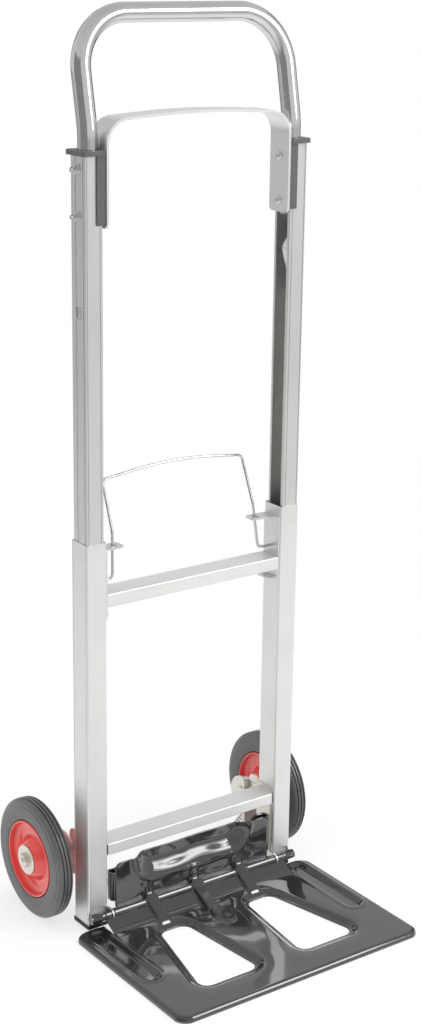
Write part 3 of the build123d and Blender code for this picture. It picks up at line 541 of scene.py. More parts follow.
@dataclass
class Surface:
    """Points and quads of one piece, in millimetres."""

    points: np.ndarray
    faces: np.ndarray

    def joined(self, other: "Surface") -> "Surface":
        """Put another surface's points and quads after these."""
        return Surface(np.concatenate([self.points, other.points]),
                       np.concatenate([self.faces, other.faces + len(self.points)]))

    def mirrored(self) -> "Surface":
        """The same surface on the other side of the truck, its faces still outwards."""
        return Surface(self.points * (-1, 1, 1), self.faces[:, ::-1])

    def on(self, side: Side) -> "Surface":
        """The surface as it lies on a side: as it is on the right, mirrored on the left."""
        return self if side is Side.RIGHT else self.mirrored()

    def piece(self, name: str, finish: Finish, weld_mm: float = 0.0) -> bpy.types.Object:
        """Make the piece's object at the origin, shaded smooth.

        Args:
            name: The object's name.
            finish: Its finish.
            weld_mm: Points nearer than this become one.

        Returns:
            The object, linked to the scene.
        """
        used, numbers = np.unique(self.faces, return_inverse=True)
        loops = numbers.reshape(-1).astype(np.int32)
        mesh = bpy.data.meshes.new(name)
        mesh.vertices.add(len(used))
        mesh.vertices.foreach_set("co", (self.points[used] * MM).astype(np.float32).ravel())
        mesh.loops.add(len(loops))
        mesh.loops.foreach_set("vertex_index", loops)
        mesh.polygons.add(len(self.faces))
        mesh.polygons.foreach_set("loop_start", np.arange(0, len(loops), 4, dtype=np.int32))
        mesh.polygons.foreach_set("use_smooth", np.ones(len(self.faces), dtype=bool))
        mesh.update(calc_edges=True)
        mesh.validate()
        if weld_mm:
            weld = bmesh.new()
            weld.from_mesh(mesh)
            bmesh.ops.remove_doubles(weld, verts=weld.verts, dist=weld_mm * MM)
            weld.to_mesh(mesh)
            weld.free()
        mesh.materials.append(finish.material())
        LOG.info("%s: %d faces", name, len(mesh.polygons))
        return new_object(name, mesh)


def thicken(piece: bpy.types.Object, sheet_mm: float) -> None:
    """Give a sheet its wall, behind the face that shows.

    Args:
        piece: The sheet.
        sheet_mm: Its thickness.
    """
    wall = piece.modifiers.new("sheet", "SOLIDIFY")
    wall.thickness = sheet_mm * MM
    wall.offset = -1.0


def rounded_path(corners: np.ndarray, radii: list[float], step_deg: float = 6.0) -> np.ndarray:
    """Carry a line along straight runs and round its inner corners with arcs.

    Each arc starts and ends at radius times the tangent of half the turn from its corner, and its
    points turn evenly about its centre.

    Args:
        corners: The line's corners, one row each.
        radii: One radius for each inner corner.
        step_deg: The most that one step of an arc turns.

    Returns:
        The points of the line.
    """
    runs = [corners[:1]]
    for before, corner, after, radius in zip(corners[:-2], corners[1:-1], corners[2:], radii):
        came, goes = unit(corner - before), unit(after - corner)
        turn = math.acos(float(np.clip(came @ goes, -1, 1)))
        if turn < 1e-4 or radius <= 0:
            runs.append(corner[None])
            continue
        start = corner - came * radius * math.tan(turn / 2)
        inward = unit(goes - came * (came @ goes))
        angle = np.linspace(0, turn, max(3, math.ceil(math.degrees(turn) / step_deg) + 1))[:, None]
        runs.append(start + radius * (came * np.sin(angle) + inward * (1 - np.cos(angle))))
    runs.append(corners[-1:])
    return np.concatenate(runs)


def carried(path: np.ndarray, section: np.ndarray, first: np.ndarray) -> Surface:
    """Carry a closed section along a path.

    At each point the section's own axes are the given direction, less its part along the path, and
    the path's direction crossed with it.

    Args:
        path: Points of the path, one row each.
        section: Points of the section, across and up.
        first: The section's first axis at each point of the path, or one for all.

    Returns:
        The skin, open at both ends.
    """
    along = unit(np.gradient(path, run_along(path), axis=0))
    across = np.broadcast_to(first, path.shape)
    across = unit(across - along * np.sum(across * along, axis=1, keepdims=True))
    up = np.cross(along, across)
    points = (path[:, None] + section[None, :, :1] * across[:, None] + section[None, :, 1:] * up[:, None])
    return Surface(points.reshape(-1, 3), grid_faces(len(path), len(section), close_columns=True))


def circle(radius: float, count: int) -> np.ndarray:
    """Points of a circle, across and up, turning left."""
    angle = np.linspace(0, 2 * np.pi, count, endpoint=False)
    return radius * np.stack([np.cos(angle), np.sin(angle)], axis=-1)


def turned(profile: np.ndarray, centre: tuple[float, float], count: int = 144) -> Surface:
    """Turn a closed profile about an axle along X.

    Args:
        profile: Places along X and radii, one row each.
        centre: The axle's Y and Z.
        count: Steps in a full turn.

    Returns:
        The turned skin.
    """
    angle = np.linspace(0, 2 * np.pi, count, endpoint=False)[:, None]
    x = np.broadcast_to(profile[:, 0], (count, len(profile)))
    y = centre[0] + np.sin(angle) * profile[:, 1]
    z = centre[1] + np.cos(angle) * profile[:, 1]
    points = np.stack([x, y, z], axis=-1)
    points = np.concatenate([points, points[:1]])
    return Surface(points.reshape(-1, 3), grid_faces(count + 1, len(profile), close_columns=True))


# Signed distances: negative inside, positive outside, in millimetres


def box_distance(x: np.ndarray, y: np.ndarray, half_x: float, low_y: float, high_y: float,
                 corner: float) -> np.ndarray:
    """Distance to a rectangle about X = 0 with round corners.

    The rectangle is moved in by the corners' radius; the distance to that smaller one, less the
    radius, is the distance to the rounded one.

    Args:
        x: Places across.
        y: Places along.
        half_x: Half the rectangle's width.
        low_y: Where it starts along Y.
        high_y: Where it ends.
        corner: Radius of its corners.

    Returns:
        The signed distance at each place.
    """
    over_x = np.abs(x) - (half_x - corner)
    over_y = np.abs(y - (low_y + high_y) / 2) - ((high_y - low_y) / 2 - corner)
    outside = np.hypot(np.maximum(over_x, 0), np.maximum(over_y, 0))
    return outside + np.minimum(np.maximum(over_x, over_y), 0) - corner


def outline_distance(x: np.ndarray, y: np.ndarray, corners: np.ndarray, radius: float) -> np.ndarray:
    """Distance to a convex outline with round corners.

    The outline is moved in by the radius; the distance to that smaller outline, less the radius, is
    the distance to the rounded one.

    Args:
        x: Places across.
        y: Places along.
        corners: The sharp outline's corners, turning left.
        radius: Of its corners.

    Returns:
        The signed distance at each place.
    """
    sides = unit(np.roll(corners, -1, axis=0) - corners)
    outward = np.stack([sides[:, 1], -sides[:, 0]], axis=-1)
    reach = np.sum(outward * corners, axis=1) - radius
    facing = np.stack([np.roll(outward, 1, axis=0), outward], axis=1)
    reaches = np.stack([np.roll(reach, 1), reach], axis=1)
    small = np.linalg.solve(facing, reaches[..., None])[..., 0]
    place = np.stack([x, y], axis=-1)[..., None, :]
    run = np.roll(small, -1, axis=0) - small
    share = np.clip(np.sum((place - small) * run, axis=-1) / np.sum(run * run, axis=-1), 0, 1)
    near = np.linalg.norm(place - small - share[..., None] * run, axis=-1).min(axis=-1)
    over = (np.sum(place * outward, axis=-1) - reach).max(axis=-1)
    return np.where(over > 0, near, over) - radius


def bead(distance: np.ndarray, height: float, place: float, width: float) -> np.ndarray:
    """A round bead along a line: height times e to minus the square of (distance less place) over width."""
    return height * np.exp(-((distance - place) / width) ** 2)


# The toe plate


@dataclass
class ToePressing:
    """The toe plate: one pressed sheet with a rolled rim, windows, grooves, ribs and a back flange.

    Y counts back from the uprights' front faces until the mesh is made. The sheet is laid out flat:
    the distance along it starts at the foot of the ramp, and its cross section is the flat, the ramp,
    the round of the barrel and the upright flange.
    """

    sheet: float = 1.5
    step: float = 1.5
    top_z: float = 7.0
    half: float = 177.5
    reach: float = 231.0
    back: float = 2.0
    corner: float = 16.0
    rim: float = 5.5
    skirt: float = 1.2
    middle_half: float = 136.0
    hinge: tuple[float, float] = (-5.6, 20.0)
    barrel: float = 6.5
    bore: float = 4.05
    barrel_half: float = 152.0
    barrel_sunk: float = 0.4
    barrel_chamfer: float = 0.5
    barrel_steps: int = 48
    barrel_rows: int = 20
    crease_rows: tuple[float, ...] = (-0.3, -0.08, 0.08, 0.3)  # close rows that keep a crease sharp
    ramp_foot: float = -32.0
    ramp_head: float = 18.0
    section_radii: tuple[float, ...] = (40.0, 0.1, 6.5, 0.1)
    flange_y: float = -1.5
    flange_top: float = 82.0
    flange_half: float = 116.0
    flange_corner: float = 9.0
    lug_gap: tuple[float, float] = (123.8, 126.6)
    lug_reach: float = 7.5
    window: tuple[tuple[float, float], ...] = ((46.0, -50.0), (31.0, -182.0), (115.0, -182.0), (84.0, -50.0))
    window_corner: float = 13.0
    window_drop: float = 4.0
    window_lip: tuple[float, float] = (1.5, 11.0)  # where the lip starts, and its run
    window_sag: tuple[float, float] = (0.9, 26.0)  # depth of the broad sag, and its run
    groove_x: float = 152.0
    groove_ends: tuple[float, float] = (-19.0, -131.0)
    groove_half: float = 13.0
    groove_depth: float = 4.0
    groove_wall: float = 8.0
    groove_bead: tuple[float, float, float] = (0.7, 1.5, 2.5)  # height, place and width
    flat_fade: tuple[float, float] = (-6.0, 18.0)  # where the flat's relief starts to fade, and its run
    rib_places: tuple[float, ...] = (-68.0, 0.0, 68.0)
    rib_tips: tuple[float, ...] = (-42.0, -52.0, -42.0)
    rib_top: tuple[float, ...] = (6.5, 4.0, 2.5)  # half its crest, at the bend, the flange's foot and its head
    rib_foot: tuple[float, ...] = (9.0, 7.0, 7.0)  # half its foot, at the same places
    rib_head: float = 50.0
    rib_crest: tuple[tuple[float, float], ...] = ((-14.5, 24.0), (-9.2, 27.4), (-4.5, 31.0))
    rib_blur: float = 3.0
    rib_samples: int = 11
    spoon: tuple[float, float] = (-58.0, -74.0)
    spoon_half: float = 13.0
    spoon_rise: tuple[float, float] = (2.2, 6.0)  # height, and its run
    spoon_hollow: tuple[float, float, float] = (2.8, 4.0, 8.0)  # depth, where it starts, and its run
    dish_half: float = 88.0
    dish_foot: float = 48.0
    dish_corner: float = 32.0
    dish_depth: float = 11.0
    dish_run: float = 22.0
    dish_bead: tuple[float, float, float] = (1.3, 2.0, 2.4)  # height, place and width
    ripple: float = 1.0
    ripple_x: tuple[float, float] = (13.0, 0.6)  # length of a radian, and the phase
    ripple_z: tuple[float, float] = (9.0, 58.0)  # length of a radian, and the height of a crest
    ripple_fade: float = 14.0
    pillow: tuple[float, float, float] = (0.8, 34.0, 10.0)  # height, width, and run from the flange's foot
    flange_fade: float = 8.0
    curl: tuple[tuple[float, float], ...] = (
        (113.0, -0.8), (121.0, -0.8), (121.0, 13.0), (104.0, 13.0), (86.0, 0.2))
    curl_radii: tuple[float, ...] = (4.0, 6.0, 14.0)
    curl_foot: float = 33.0
    curl_top_left: float = 70.0
    curl_top_right: float = 81.0
    curl_rows: int = 14

    def __post_init__(self) -> None:
        """Lay out the cross section and find the distances where its runs end."""
        front, top = self.hinge[0] - self.barrel, self.hinge[1] + self.barrel
        corners = [(-3 * self.reach, self.top_z), (self.ramp_foot, self.top_z), (front, self.ramp_head),
                   (front, top), (self.flange_y, top), (self.flange_y, self.flange_top)]
        self.line = rounded_path(np.array(corners), list(self.section_radii), 4.0)
        self.run = run_along(self.line)
        self.run -= self.run[1]
        self.bend_y = float(self.line[1, 0])
        y, z = self.line.T
        near = np.hypot(y - self.hinge[0], z - self.hinge[1]) < self.lug_reach
        on_flange = y > self.flange_y - 1e-6
        reached = (near, y > front - 1e-6, z > self.hinge[1] - 1e-6, y > self.hinge[0] - 1e-6, on_flange)
        (self.lug_start, self.ramp_end, self.bend_end, self.barrel_end, self.fillet_end) = (
            float(self.run[np.argmax(passed)]) for passed in reached)
        self.flange_foot = float(z[np.argmax(on_flange)])
        self.top_end = float(self.run[-1])
        self.rib_end = self.fillet_end + self.rib_head - self.flange_foot
        self.skirt_end = self.rim * math.pi / 2 + self.skirt
        self.side_edge = self.half - self.rim + self.skirt_end
        self.front_edge = -self.reach + self.rim - self.skirt_end
        self.rear_roll = -self.back - self.rim

    def section(self, t: np.ndarray) -> tuple[np.ndarray, np.ndarray, np.ndarray, np.ndarray]:
        """The plain cross section at each distance along the sheet.

        Args:
            t: Distances from the ramp's foot, negative on the flat.

        Returns:
            Y and Z of the sheet, and Y and Z of its outward direction.
        """
        y, z = (np.interp(t, self.run, side) for side in self.line.T)
        along_y, along_z = (np.interp(t + 0.2, self.run, side) - np.interp(t - 0.2, self.run, side)
                            for side in self.line.T)
        length = np.hypot(along_y, along_z)
        return y, z, -along_z / length, along_y / length

    def rib_line(self, t: np.ndarray, tip: float) -> tuple[np.ndarray, np.ndarray]:
        """The crest of a rib: straight up from the flat, over the barrel, and back to the flange.

        The straight runs between a few points are averaged over a few millimetres of the sheet,
        with weights that fall evenly from the middle, which rounds their corners.

        Args:
            t: Distances along the sheet.
            tip: Y of the rib's tip on the flat.

        Returns:
            Y and Z of the crest.
        """
        knots = [-self.reach * 2, tip - self.bend_y, self.bend_end, (self.bend_end + self.barrel_end) / 2,
                 self.fillet_end, self.rib_end, self.top_end + self.reach]
        points = [(self.bend_y - 2 * self.reach, self.top_z), (tip, self.top_z), *self.rib_crest,
                  (self.flange_y, self.rib_head), (self.flange_y, self.flange_top + self.reach)]
        span = np.linspace(-self.rib_blur, self.rib_blur, self.rib_samples)
        weight = 1 - np.abs(span) / (self.rib_blur + 1)
        y, z = (np.interp(t[..., None] + span, knots, side) for side in np.array(points).T)
        return (y * weight).sum(-1) / weight.sum(), (z * weight).sum(-1) / weight.sum()

    def window_distance(self, x: np.ndarray, y: np.ndarray) -> np.ndarray:
        """Distance to the nearer window's edge."""
        return outline_distance(np.abs(x), y, np.array(self.window), self.window_corner)

    def beside_windows(self, x: np.ndarray, t: np.ndarray) -> np.ndarray:
        """Distance to the windows, along the sheet from the ramp's foot."""
        return self.window_distance(x, t + self.bend_y)

    def under_corners(self, x: np.ndarray, t: np.ndarray) -> np.ndarray:
        """Distance within the flange's round upper corners."""
        return -box_distance(x, t, self.flange_half, self.top_end - 3 * self.flange_corner, self.top_end,
                             self.flange_corner)

    def inside_rim(self, x: np.ndarray, y: np.ndarray) -> np.ndarray:
        """Distance within the side strips' outer edge, laid out flat."""
        return -box_distance(x, y, self.side_edge, self.front_edge, self.rear_roll + self.skirt_end,
                             self.corner - self.rim + self.skirt_end)

    def flat_lift(self, x: np.ndarray, y: np.ndarray) -> np.ndarray:
        """How far the flat stands above or below its plain level.

        Windows sink by a smooth step away from their edges and by a second, broad one; side grooves
        are capsules; the spoon is a raised oval with a hollow in it.

        Args:
            x: Places across.
            y: Places along.

        Returns:
            The lift, upwards.
        """
        window = self.window_distance(x, y)
        lift = -self.window_drop * (1 - smooth_step((window - self.window_lip[0]) / self.window_lip[1]))
        lift -= self.window_sag[0] * (1 - smooth_step(window / self.window_sag[1]))
        along = np.clip(y, self.groove_ends[1], self.groove_ends[0])
        groove = np.hypot(np.abs(x) - self.groove_x, y - along) - self.groove_half
        lift -= self.groove_depth * smooth_step(-groove / self.groove_wall)
        lift += bead(groove, *self.groove_bead)
        along = np.clip(y, self.spoon[1], self.spoon[0])
        spoon = np.hypot(x, y - along) - self.spoon_half
        height, run = self.spoon_rise
        depth, start, hollow_run = self.spoon_hollow
        lift += height * smooth_step(-spoon / run) - depth * smooth_step((-spoon - start) / hollow_run)
        return lift

    def flange_lift(self, x: np.ndarray, z: np.ndarray) -> np.ndarray:
        """How far the flange stands forward of its plain level.

        A deep pocket sinks by a smooth step from its edge, with a ripple in it, a sine across times a
        cosine up, and a bead round it. Beside it are faint pillows, a cosine across.

        Args:
            x: Places across.
            z: Heights.

        Returns:
            The lift, forwards.
        """
        pocket = box_distance(x, z, self.dish_half, self.dish_foot, self.flange_top + 2 * self.dish_corner,
                              self.dish_corner)
        lift = -self.dish_depth * smooth_step(-pocket / self.dish_run)
        wave = np.sin(x / self.ripple_x[0] + self.ripple_x[1])
        wave = wave * np.cos((z - self.ripple_z[1]) / self.ripple_z[0])
        lift += self.ripple * wave * smooth_step(-pocket / self.ripple_fade)
        lift += bead(pocket, *self.dish_bead)
        height, width, run = self.pillow
        beside = smooth_step((z - self.flange_foot) / run) * (pocket > 0)
        return lift + height * np.cos(np.pi * x / width) * beside

    def rolled(self, x: np.ndarray, y: np.ndarray, z: np.ndarray, rear: float) -> np.ndarray:
        """Roll the sheet's rim down over its edge.

        Past the line where the roll starts, a point's distance beyond it becomes an angle about the
        roll and then a straight skirt.

        Args:
            x: Places across the flat sheet.
            y: Places along it.
            z: Heights.
            rear: Where the rear edge's roll starts.

        Returns:
            The points, one row each.
        """
        corner = self.corner - self.rim
        over_x = np.maximum(np.abs(x) - (self.half - self.rim - corner), 0)
        middle, span = (rear - self.reach + self.rim) / 2, (rear + self.reach - self.rim) / 2
        over_y = np.maximum(np.abs(y - middle) - (span - corner), 0)
        away = np.hypot(over_x, over_y)
        past = np.maximum(away - corner, 0)
        angle = np.minimum(past / self.rim, math.pi / 2)
        pull = np.where(away > 0, (self.rim * np.sin(angle) - past) / np.maximum(away, 1e-9), 0)
        drop = self.rim * (1 - np.cos(angle)) + np.maximum(past - self.rim * math.pi / 2, 0)
        return np.stack([x + np.sign(x) * over_x * pull, y + np.sign(y - middle) * over_y * pull, z - drop],
                        axis=-1)

    def trim(self, x: np.ndarray, y: np.ndarray, faces: np.ndarray,
             distance: Callable[[np.ndarray, np.ndarray], np.ndarray], nudge: float = 0.05) -> np.ndarray:
        """Cut a grid along a line and move the cut's points onto it.

        Each point goes back along the distance's slope by the distance over the slope's square.

        Args:
            x: Places across, changed in place.
            y: Places along, changed in place.
            faces: The quads.
            distance: Signed distance of places, negative where the sheet is cut away.
            nudge: The short way over which the slope is measured.

        Returns:
            The quads that stay.
        """
        gap = distance(x, y)
        stays = gap[faces].mean(axis=1) > 0
        kept, gone = np.zeros(len(x), bool), np.zeros(len(x), bool)
        kept[faces[stays]] = True
        gone[faces[~stays]] = True
        edge = kept & gone
        for _ in range(2):
            gap = distance(x[edge], y[edge])
            slope_x = (distance(x[edge] + nudge, y[edge]) - gap) / nudge
            slope_y = (distance(x[edge], y[edge] + nudge) - gap) / nudge
            steep = np.maximum(slope_x ** 2 + slope_y ** 2, 0.25)
            x[edge] -= gap * slope_x / steep
            y[edge] -= gap * slope_y / steep
        return faces[stays]

    def runs(self, *ends: float) -> np.ndarray:
        """Even steps between named places, each of which is kept."""
        return np.unique(np.concatenate([
            np.linspace(a, b, max(2, round((b - a) / self.step) + 1)) for a, b in zip(ends[:-1], ends[1:])]))

    def middle(self) -> Surface:
        """The sheet between the side strips: flat with windows, bend, barrel, ribs and flange.

        The cross section is carried across. A rib draws it to the rib's own line by a smooth step
        down its flanks, and the reliefs of flat and flange are added along its outward direction.

        Returns:
            The sheet, its front rim rolled.
        """
        inner, outer = self.lug_gap
        columns = self.runs(-self.middle_half, -outer, -inner, -self.flange_half, 0, self.flange_half, inner,
                            outer, self.middle_half)
        rows = self.runs(self.front_edge - self.bend_y, 0, self.lug_start, self.bend_end, self.barrel_end,
                         self.fillet_end, self.top_end)
        creases = np.add.outer((self.ramp_end, self.fillet_end), self.crease_rows).ravel()
        rows = np.unique(np.concatenate([
            rows, np.linspace(self.bend_end, self.fillet_end, self.barrel_rows), creases]))
        x, t = (a.ravel() for a in np.meshgrid(columns, rows))
        faces = grid_faces(len(rows), len(columns))
        centre_x, centre_t = np.abs(x[faces].mean(axis=1)), t[faces].mean(axis=1)
        in_slot = (centre_x > inner) & (centre_x < outer) & (centre_t > self.lug_start)
        beside = (centre_x > self.flange_half) & (centre_t > self.barrel_end)
        faces = faces[~(in_slot | beside)]
        faces = self.trim(x, t, faces, self.beside_windows)
        upper = t[faces].mean(axis=1) > self.top_end - self.flange_corner - self.step
        faces = np.concatenate([faces[~upper], self.trim(x, t, faces[upper], self.under_corners)])
        y, z, out_y, out_z = self.section(t)
        places = [self.bend_end, self.fillet_end, self.rib_end]
        for place, tip in zip(self.rib_places, self.rib_tips):
            rib_y, rib_z = self.rib_line(t, tip)
            top, foot = (np.interp(t, places, widths) for widths in (self.rib_top, self.rib_foot))
            share = 1 - smooth_step((np.abs(x - place) - top) / (foot - top))
            y += share * (rib_y - y)
            z += share * (rib_z - z)
        on_flat = 1 - smooth_step((t - self.flat_fade[0]) / self.flat_fade[1])
        lift = on_flat * self.flat_lift(x, self.bend_y + t)
        on_flange = smooth_step((t - self.fillet_end) / self.flange_fade)
        lift += on_flange * self.flange_lift(x, self.flange_foot + t - self.fillet_end)
        y, z = y + lift * out_y, z + lift * out_z
        points = np.stack([x, y, z], axis=-1)
        front = t < 0
        points[front] = self.rolled(x[front], y[front], z[front], self.reach)
        return Surface(points, faces)

    def strip(self) -> Surface:
        """The right-hand side strip, with its groove and its rolled rim: the flat's relief on a level sheet.

        Returns:
            The strip.
        """
        columns = self.runs(self.middle_half, self.side_edge)
        rows = self.runs(self.front_edge, self.bend_y, self.rear_roll + self.skirt_end)
        x, y = (a.ravel() for a in np.meshgrid(columns, rows))
        faces = self.trim(x, y, grid_faces(len(rows), len(columns)), self.inside_rim)
        return Surface(self.rolled(x, y, self.top_z + self.flat_lift(x, y), self.rear_roll), faces)

    def curled_end(self, top: float) -> Surface:
        """The flange's right-hand end, curled back on itself: a rounded path carried up from foot to top.

        Args:
            top: Height of the curl's upper edge.

        Returns:
            The curl.
        """
        path = rounded_path(np.array(self.curl), list(self.curl_radii), 10.0)
        height = np.linspace(self.curl_foot, top, self.curl_rows)
        points = np.c_[np.tile(path, (len(height), 1)), np.repeat(height, len(path))]
        return Surface(points, grid_faces(len(height), len(path)))

    def barrels(self) -> Surface:
        """The rolled barrels round the hinge rod, split by the lugs: chamfered sections turned about the rod.

        Returns:
            The three barrels, a little under the sheet's own round.
        """
        inner, outer = self.lug_gap
        skin, cut = self.barrel - self.barrel_sunk, self.barrel_chamfer
        tubes = []
        for low, high in ((-self.barrel_half, -outer), (-inner, inner), (outer, self.barrel_half)):
            ring = np.array([(low, self.bore), (high, self.bore), (high, skin - cut), (high - cut, skin),
                             (low + cut, skin), (low, skin - cut)])
            tubes.append(turned(ring[::-1], self.hinge, self.barrel_steps))
        return tubes[0].joined(tubes[1]).joined(tubes[2])

    def placed(self, surface: Surface) -> Surface:
        """The surface moved into the row frame."""
        return Surface(surface.points + (0, FRONT_Y, 0), surface.faces)

    def build(self) -> None:
        """Make the pressing and its barrels, and hang them on the toe body."""
        strip = self.strip()
        pressing = self.middle().joined(strip).joined(strip.mirrored())
        sheet = self.placed(pressing).piece("toe_pressing", TOE_ENAMEL, weld_mm=0.02)
        curls = self.curled_end(self.curl_top_right).joined(self.curled_end(self.curl_top_left).mirrored())
        ends = self.placed(curls).piece("toe_curls", TOE_ENAMEL)
        barrels = self.placed(self.barrels()).piece("toe_barrels", TOE_ENAMEL)
        for thin in (sheet, ends):
            thicken(thin, self.sheet)
        for piece in (sheet, ends, barrels):
            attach(piece, "toe")
            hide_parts("toe_plate")


# Feet of the uprights


@dataclass
class FootDent:
    """The dent in an upright's foot that clears the toe plate's barrel: its front wall pressed back."""

    side: Side
    inside_x: tuple[float, float] = (126.6, 151.4)
    foot_z: float = 9.0
    top_z: float = 34.0
    wall: float = 1.3
    depth: float = 1.6
    press_run: float = 8.0
    sheet: float = 0.8
    columns: int = 26
    rows: int = 40

    def build(self) -> None:
        """Press the wall: from its top edge it sinks back by a smooth step, and then runs straight down."""
        x, z = np.meshgrid(np.linspace(*self.inside_x, self.columns),
                           np.linspace(self.foot_z, self.top_z, self.rows))
        y = FRONT_Y + self.wall + self.depth * smooth_step((self.top_z - z) / self.press_run)
        surface = Surface(np.stack([x, y, z], axis=-1).reshape(-1, 3), grid_faces(self.rows, self.columns))
        # The wall takes the foot aluminium, a paler copy that paints light into the shaded foot.
        piece = surface.on(self.side).piece(f"foot_dent_{self.side.word}", FOOT_ALUMINIUM)
        thicken(piece, self.sheet)
        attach(piece, "frame")


# Wheels and springs


@dataclass
class Wheel:
    """One wheel: a ribbed solid tyre on two pressed hub halves, turned about the axle."""

    side: Side
    centre: tuple[float, float] = (FRONT_Y + 82.0, 75.0)
    inner_x: float = 167.0
    outer_x: float = 189.0
    radius: float = 75.0
    seat: float = 48.0
    groove_step: float = 4.6
    groove_half: float = 0.9
    groove_floor_half: float = 0.63
    groove_depth: float = 2.4
    rim_skin: float = 1.6
    nose_x: float = 190.6
    back_x: float = 161.0
    bush: float = 7.5
    turn_steps: int = 160

    def tyre_profile(self) -> np.ndarray:
        """The tyre's section: bead, bulged side, round shoulder, and a tread with three grooves.

        Returns:
            The closed section, straight runs between rounded corners, the same on both sides.
        """
        middle = (self.inner_x + self.outer_x) / 2
        width = (self.outer_x - self.inner_x) / 2
        seat, top = self.seat, self.radius
        side = [(-width + 1.6, seat), (-width + 0.2, seat + 3.0), (-width, seat + 8.0), (-width, top - 9.5),
                (-width + 0.8, top - 8.6), (-width + 0.9, top - 5.0), (-width + 3.4, top - 0.7)]
        radii = [2.0, 6.0, 1.0, 1.0, 4.0, 3.0]
        lip, floor, deep = self.groove_half, self.groove_floor_half, top - self.groove_depth
        tread = [corner for place in (-self.groove_step, 0.0, self.groove_step) for corner in (
            (place - lip, top), (place - floor, deep), (place + floor, deep), (place + lip, top))]
        corners = np.array(side + tread + [(-x, r) for x, r in side[::-1]])
        line = rounded_path(corners, radii + [0.6, 0.4, 0.4, 0.6] * 3 + radii[::-1], 12.0)
        return line + (middle, 0)

    def hub_profile(self, out: int) -> np.ndarray:
        """A hub half's section: rolled rim, dished wall, flat web, cone and nose; a skin of even wall.

        Args:
            out: 1 for the outer half and -1 for the inner one.

        Returns:
            The closed section.
        """
        middle = (self.inner_x + self.outer_x) / 2
        face = (self.outer_x - self.inner_x) / 2 - 0.8
        nose = self.nose_x - middle if out > 0 else middle - self.back_x
        seat, skin = self.seat - 0.2, self.rim_skin
        outside = [(0.0, seat), (face, seat), (face + 0.9, seat - 0.7), (face + 0.7, seat - skin - 0.6),
                   (3.6, seat - 3.6), (skin, seat - 9.5), (skin, 28.0), (nose, 20.0), (nose, self.bush)]
        inside = [(nose - skin, self.bush), (nose - skin, 18.8), (0.0, 27.2)]
        radii = [0.4, 0.8, 0.8, 3.5, 3.0, 4.0, 2.0, 0.2, 0.2, 1.5]
        line = rounded_path(np.array(outside + inside), radii, 10.0)
        return line * (out, 1) + (middle, 0)

    def build(self) -> None:
        """Make the tyre and both hub halves, and hang them on their wheel."""
        name = self.side.word
        for node, profile, finish, slot in (
                ("tyre", self.tyre_profile(), TYRE_RUBBER, "tyre_rubber"),
                ("hub_outer", self.hub_profile(1), HUB_ENAMEL, "hub_red"),
                ("hub_inner", self.hub_profile(-1)[::-1], HUB_ENAMEL, "hub_red")):
            surface = turned(profile, self.centre, self.turn_steps).on(self.side)
            piece = surface.piece(f"{node}_turned_{name}", finish, weld_mm=0.005)
            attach(piece, f"wheel_{name}")
            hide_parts(f"{node}_{name}")


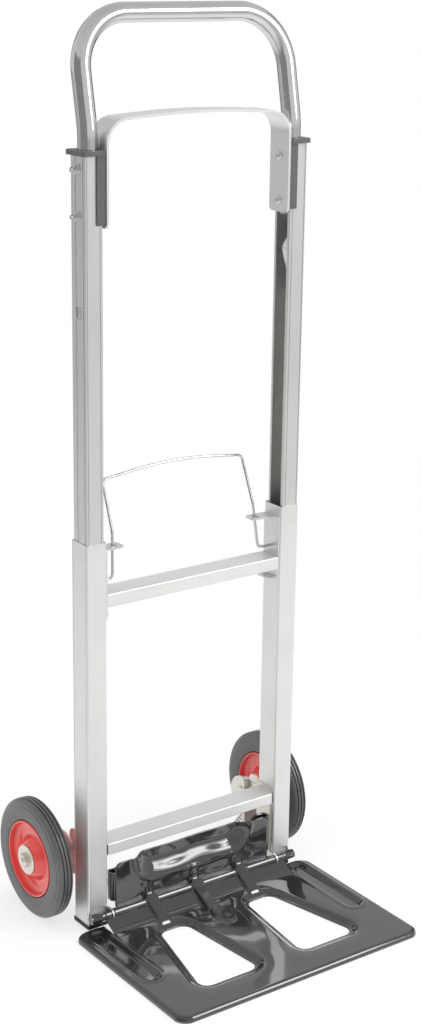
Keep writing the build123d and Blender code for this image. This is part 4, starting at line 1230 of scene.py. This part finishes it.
@dataclass
class WheelSpring:
    """A tension spring wound from one wire, hooked in a wheel bracket and in the strap."""

    side: Side
    top: tuple[float, float, float] = (133.4, FRONT_Y + 65.0, 58.0)
    foot: tuple[float, float, float] = (95.0, FRONT_Y + 65.0, 25.7)
    outside_x: float = 142.3
    under_z: float = 16.8
    tail: float = 5.5
    bend: float = 2.4
    wire: float = 1.7
    coil: float = 11.0
    turns: int = 9
    pitch: float = 3.5
    lead_in: float = 5.0
    wire_steps: int = 12
    turn_steps: int = 36
    hook_hole: tuple[float, float, float] = (137.85, FRONT_Y + 65.0, 58.0)
    strap_hole: tuple[float, float, float] = (95.0, FRONT_Y + 65.0, 21.25)
    bends: tuple[float, float] = (0.1, 0.86)  # shares of the way from hole to hole

    def __post_init__(self) -> None:
        """Work out the spring's own axes and where its coil starts."""
        run = np.array(self.foot) - np.array(self.top)
        self.length = float(np.linalg.norm(run))
        self.along = run / self.length
        self.across = np.array([0.0, 1.0, 0.0])
        self.up = np.cross(self.along, self.across)
        self.lead = (self.length - self.turns * self.pitch) / 2
        self.radius = (self.coil - self.wire) / 2

    def helix(self) -> np.ndarray:
        """The coil: a circle's angle grows as it moves evenly along the spring's axis.

        Returns:
            The points of the wire's centre line.
        """
        turn = np.linspace(0, self.turns, self.turns * self.turn_steps + 1)[:, None]
        angle = 2 * np.pi * turn
        start = np.array(self.top) + self.along * self.lead
        return (start + self.along * (self.pitch * turn) + self.radius
                * (self.across * np.cos(angle) + self.up * np.sin(angle)))

    def eased(self, start: np.ndarray, leaves: np.ndarray, end: np.ndarray,
              arrives: np.ndarray) -> np.ndarray:
        """A cubic from one point and direction to another, its handles two fifths of the chord.

        Args:
            start: The first point.
            leaves: The direction there.
            end: The last point.
            arrives: The direction there.

        Returns:
            The points between the two.
        """
        reach = 0.4 * np.linalg.norm(end - start)
        s = np.linspace(0, 1, 16)[1:-1, None]
        first, second = start + leaves * reach, end - arrives * reach
        return ((1 - s) ** 3 * start + 3 * s * (1 - s) ** 2 * first
                + 3 * s * s * (1 - s) * second + s ** 3 * end)

    def path(self) -> tuple[np.ndarray, np.ndarray]:
        """The wire's centre line, and the first axis of its section at each point.

        Returns:
            The points, and directions: Y on the hooks, square to the wire and the axis on the coil.
        """
        top, foot = np.array(self.top), np.array(self.foot)
        coil = self.helix()
        heading = unit(self.up + self.along * (self.pitch / (2 * np.pi * self.radius)))
        upper_end = top + self.along * (self.lead - self.lead_in)
        lower_start = foot - self.along * (self.lead - self.lead_in)
        hook = np.array([(self.outside_x, top[1], top[2] - self.tail), (self.outside_x, top[1], top[2]), top,
                         upper_end])
        anchor = np.array([lower_start, foot, (foot[0], foot[1], self.under_z),
                           (foot[0] + self.tail, foot[1], self.under_z)])
        parts = [rounded_path(hook, [self.bend] * 2, 10.0),
                 self.eased(upper_end, self.along, coil[0], heading), coil,
                 self.eased(coil[-1], heading, lower_start, self.along),
                 rounded_path(anchor, [self.bend] * 2, 10.0)]
        path = np.concatenate(parts)
        direction = np.gradient(path, axis=0)
        square = np.cross(direction, self.along)
        wound = np.zeros(len(path), bool)
        before = len(parts[0]) + len(parts[1])
        wound[before:before + len(coil)] = True
        return path, np.where(wound[:, None], square, self.across)

    def build(self) -> None:
        """Wind the spring, its hooks in bracket and strap."""
        name = self.side.word
        path, first = self.path()
        surface = carried(path, circle(self.wire / 2, self.wire_steps), first).on(self.side)
        piece = surface.piece(f"wheel_spring_wound_{name}", WIRE_STEEL)
        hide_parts(f"wheel_spring_{name}")
        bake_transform(piece)


def dress_nodes() -> None:
    """Give every solid of the truck the finish of its slot."""
    for part in frame["record"]["subparts"]:
        node = frame["nodes"][part["node"]]
        finish = NODE_FINISH.get(part["node"], SLOT_FINISH[part["material_slot"]])
        node.data.materials.clear()
        node.data.materials.append(finish.material())


def main() -> None:
    """Build the studio and the truck's looks, in order."""
    logging.basicConfig(level=logging.INFO, format="%(message)s")
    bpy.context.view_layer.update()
    Studio().build()
    dress_nodes()
    LOG.info("dressed %d solids", len(frame["nodes"]))
    ToePressing().build()
    for side in Side:
        FootDent(side).build()
        Wheel(side).build()
        WheelSpring(side).build()


if __name__ == "__main__":
    main()
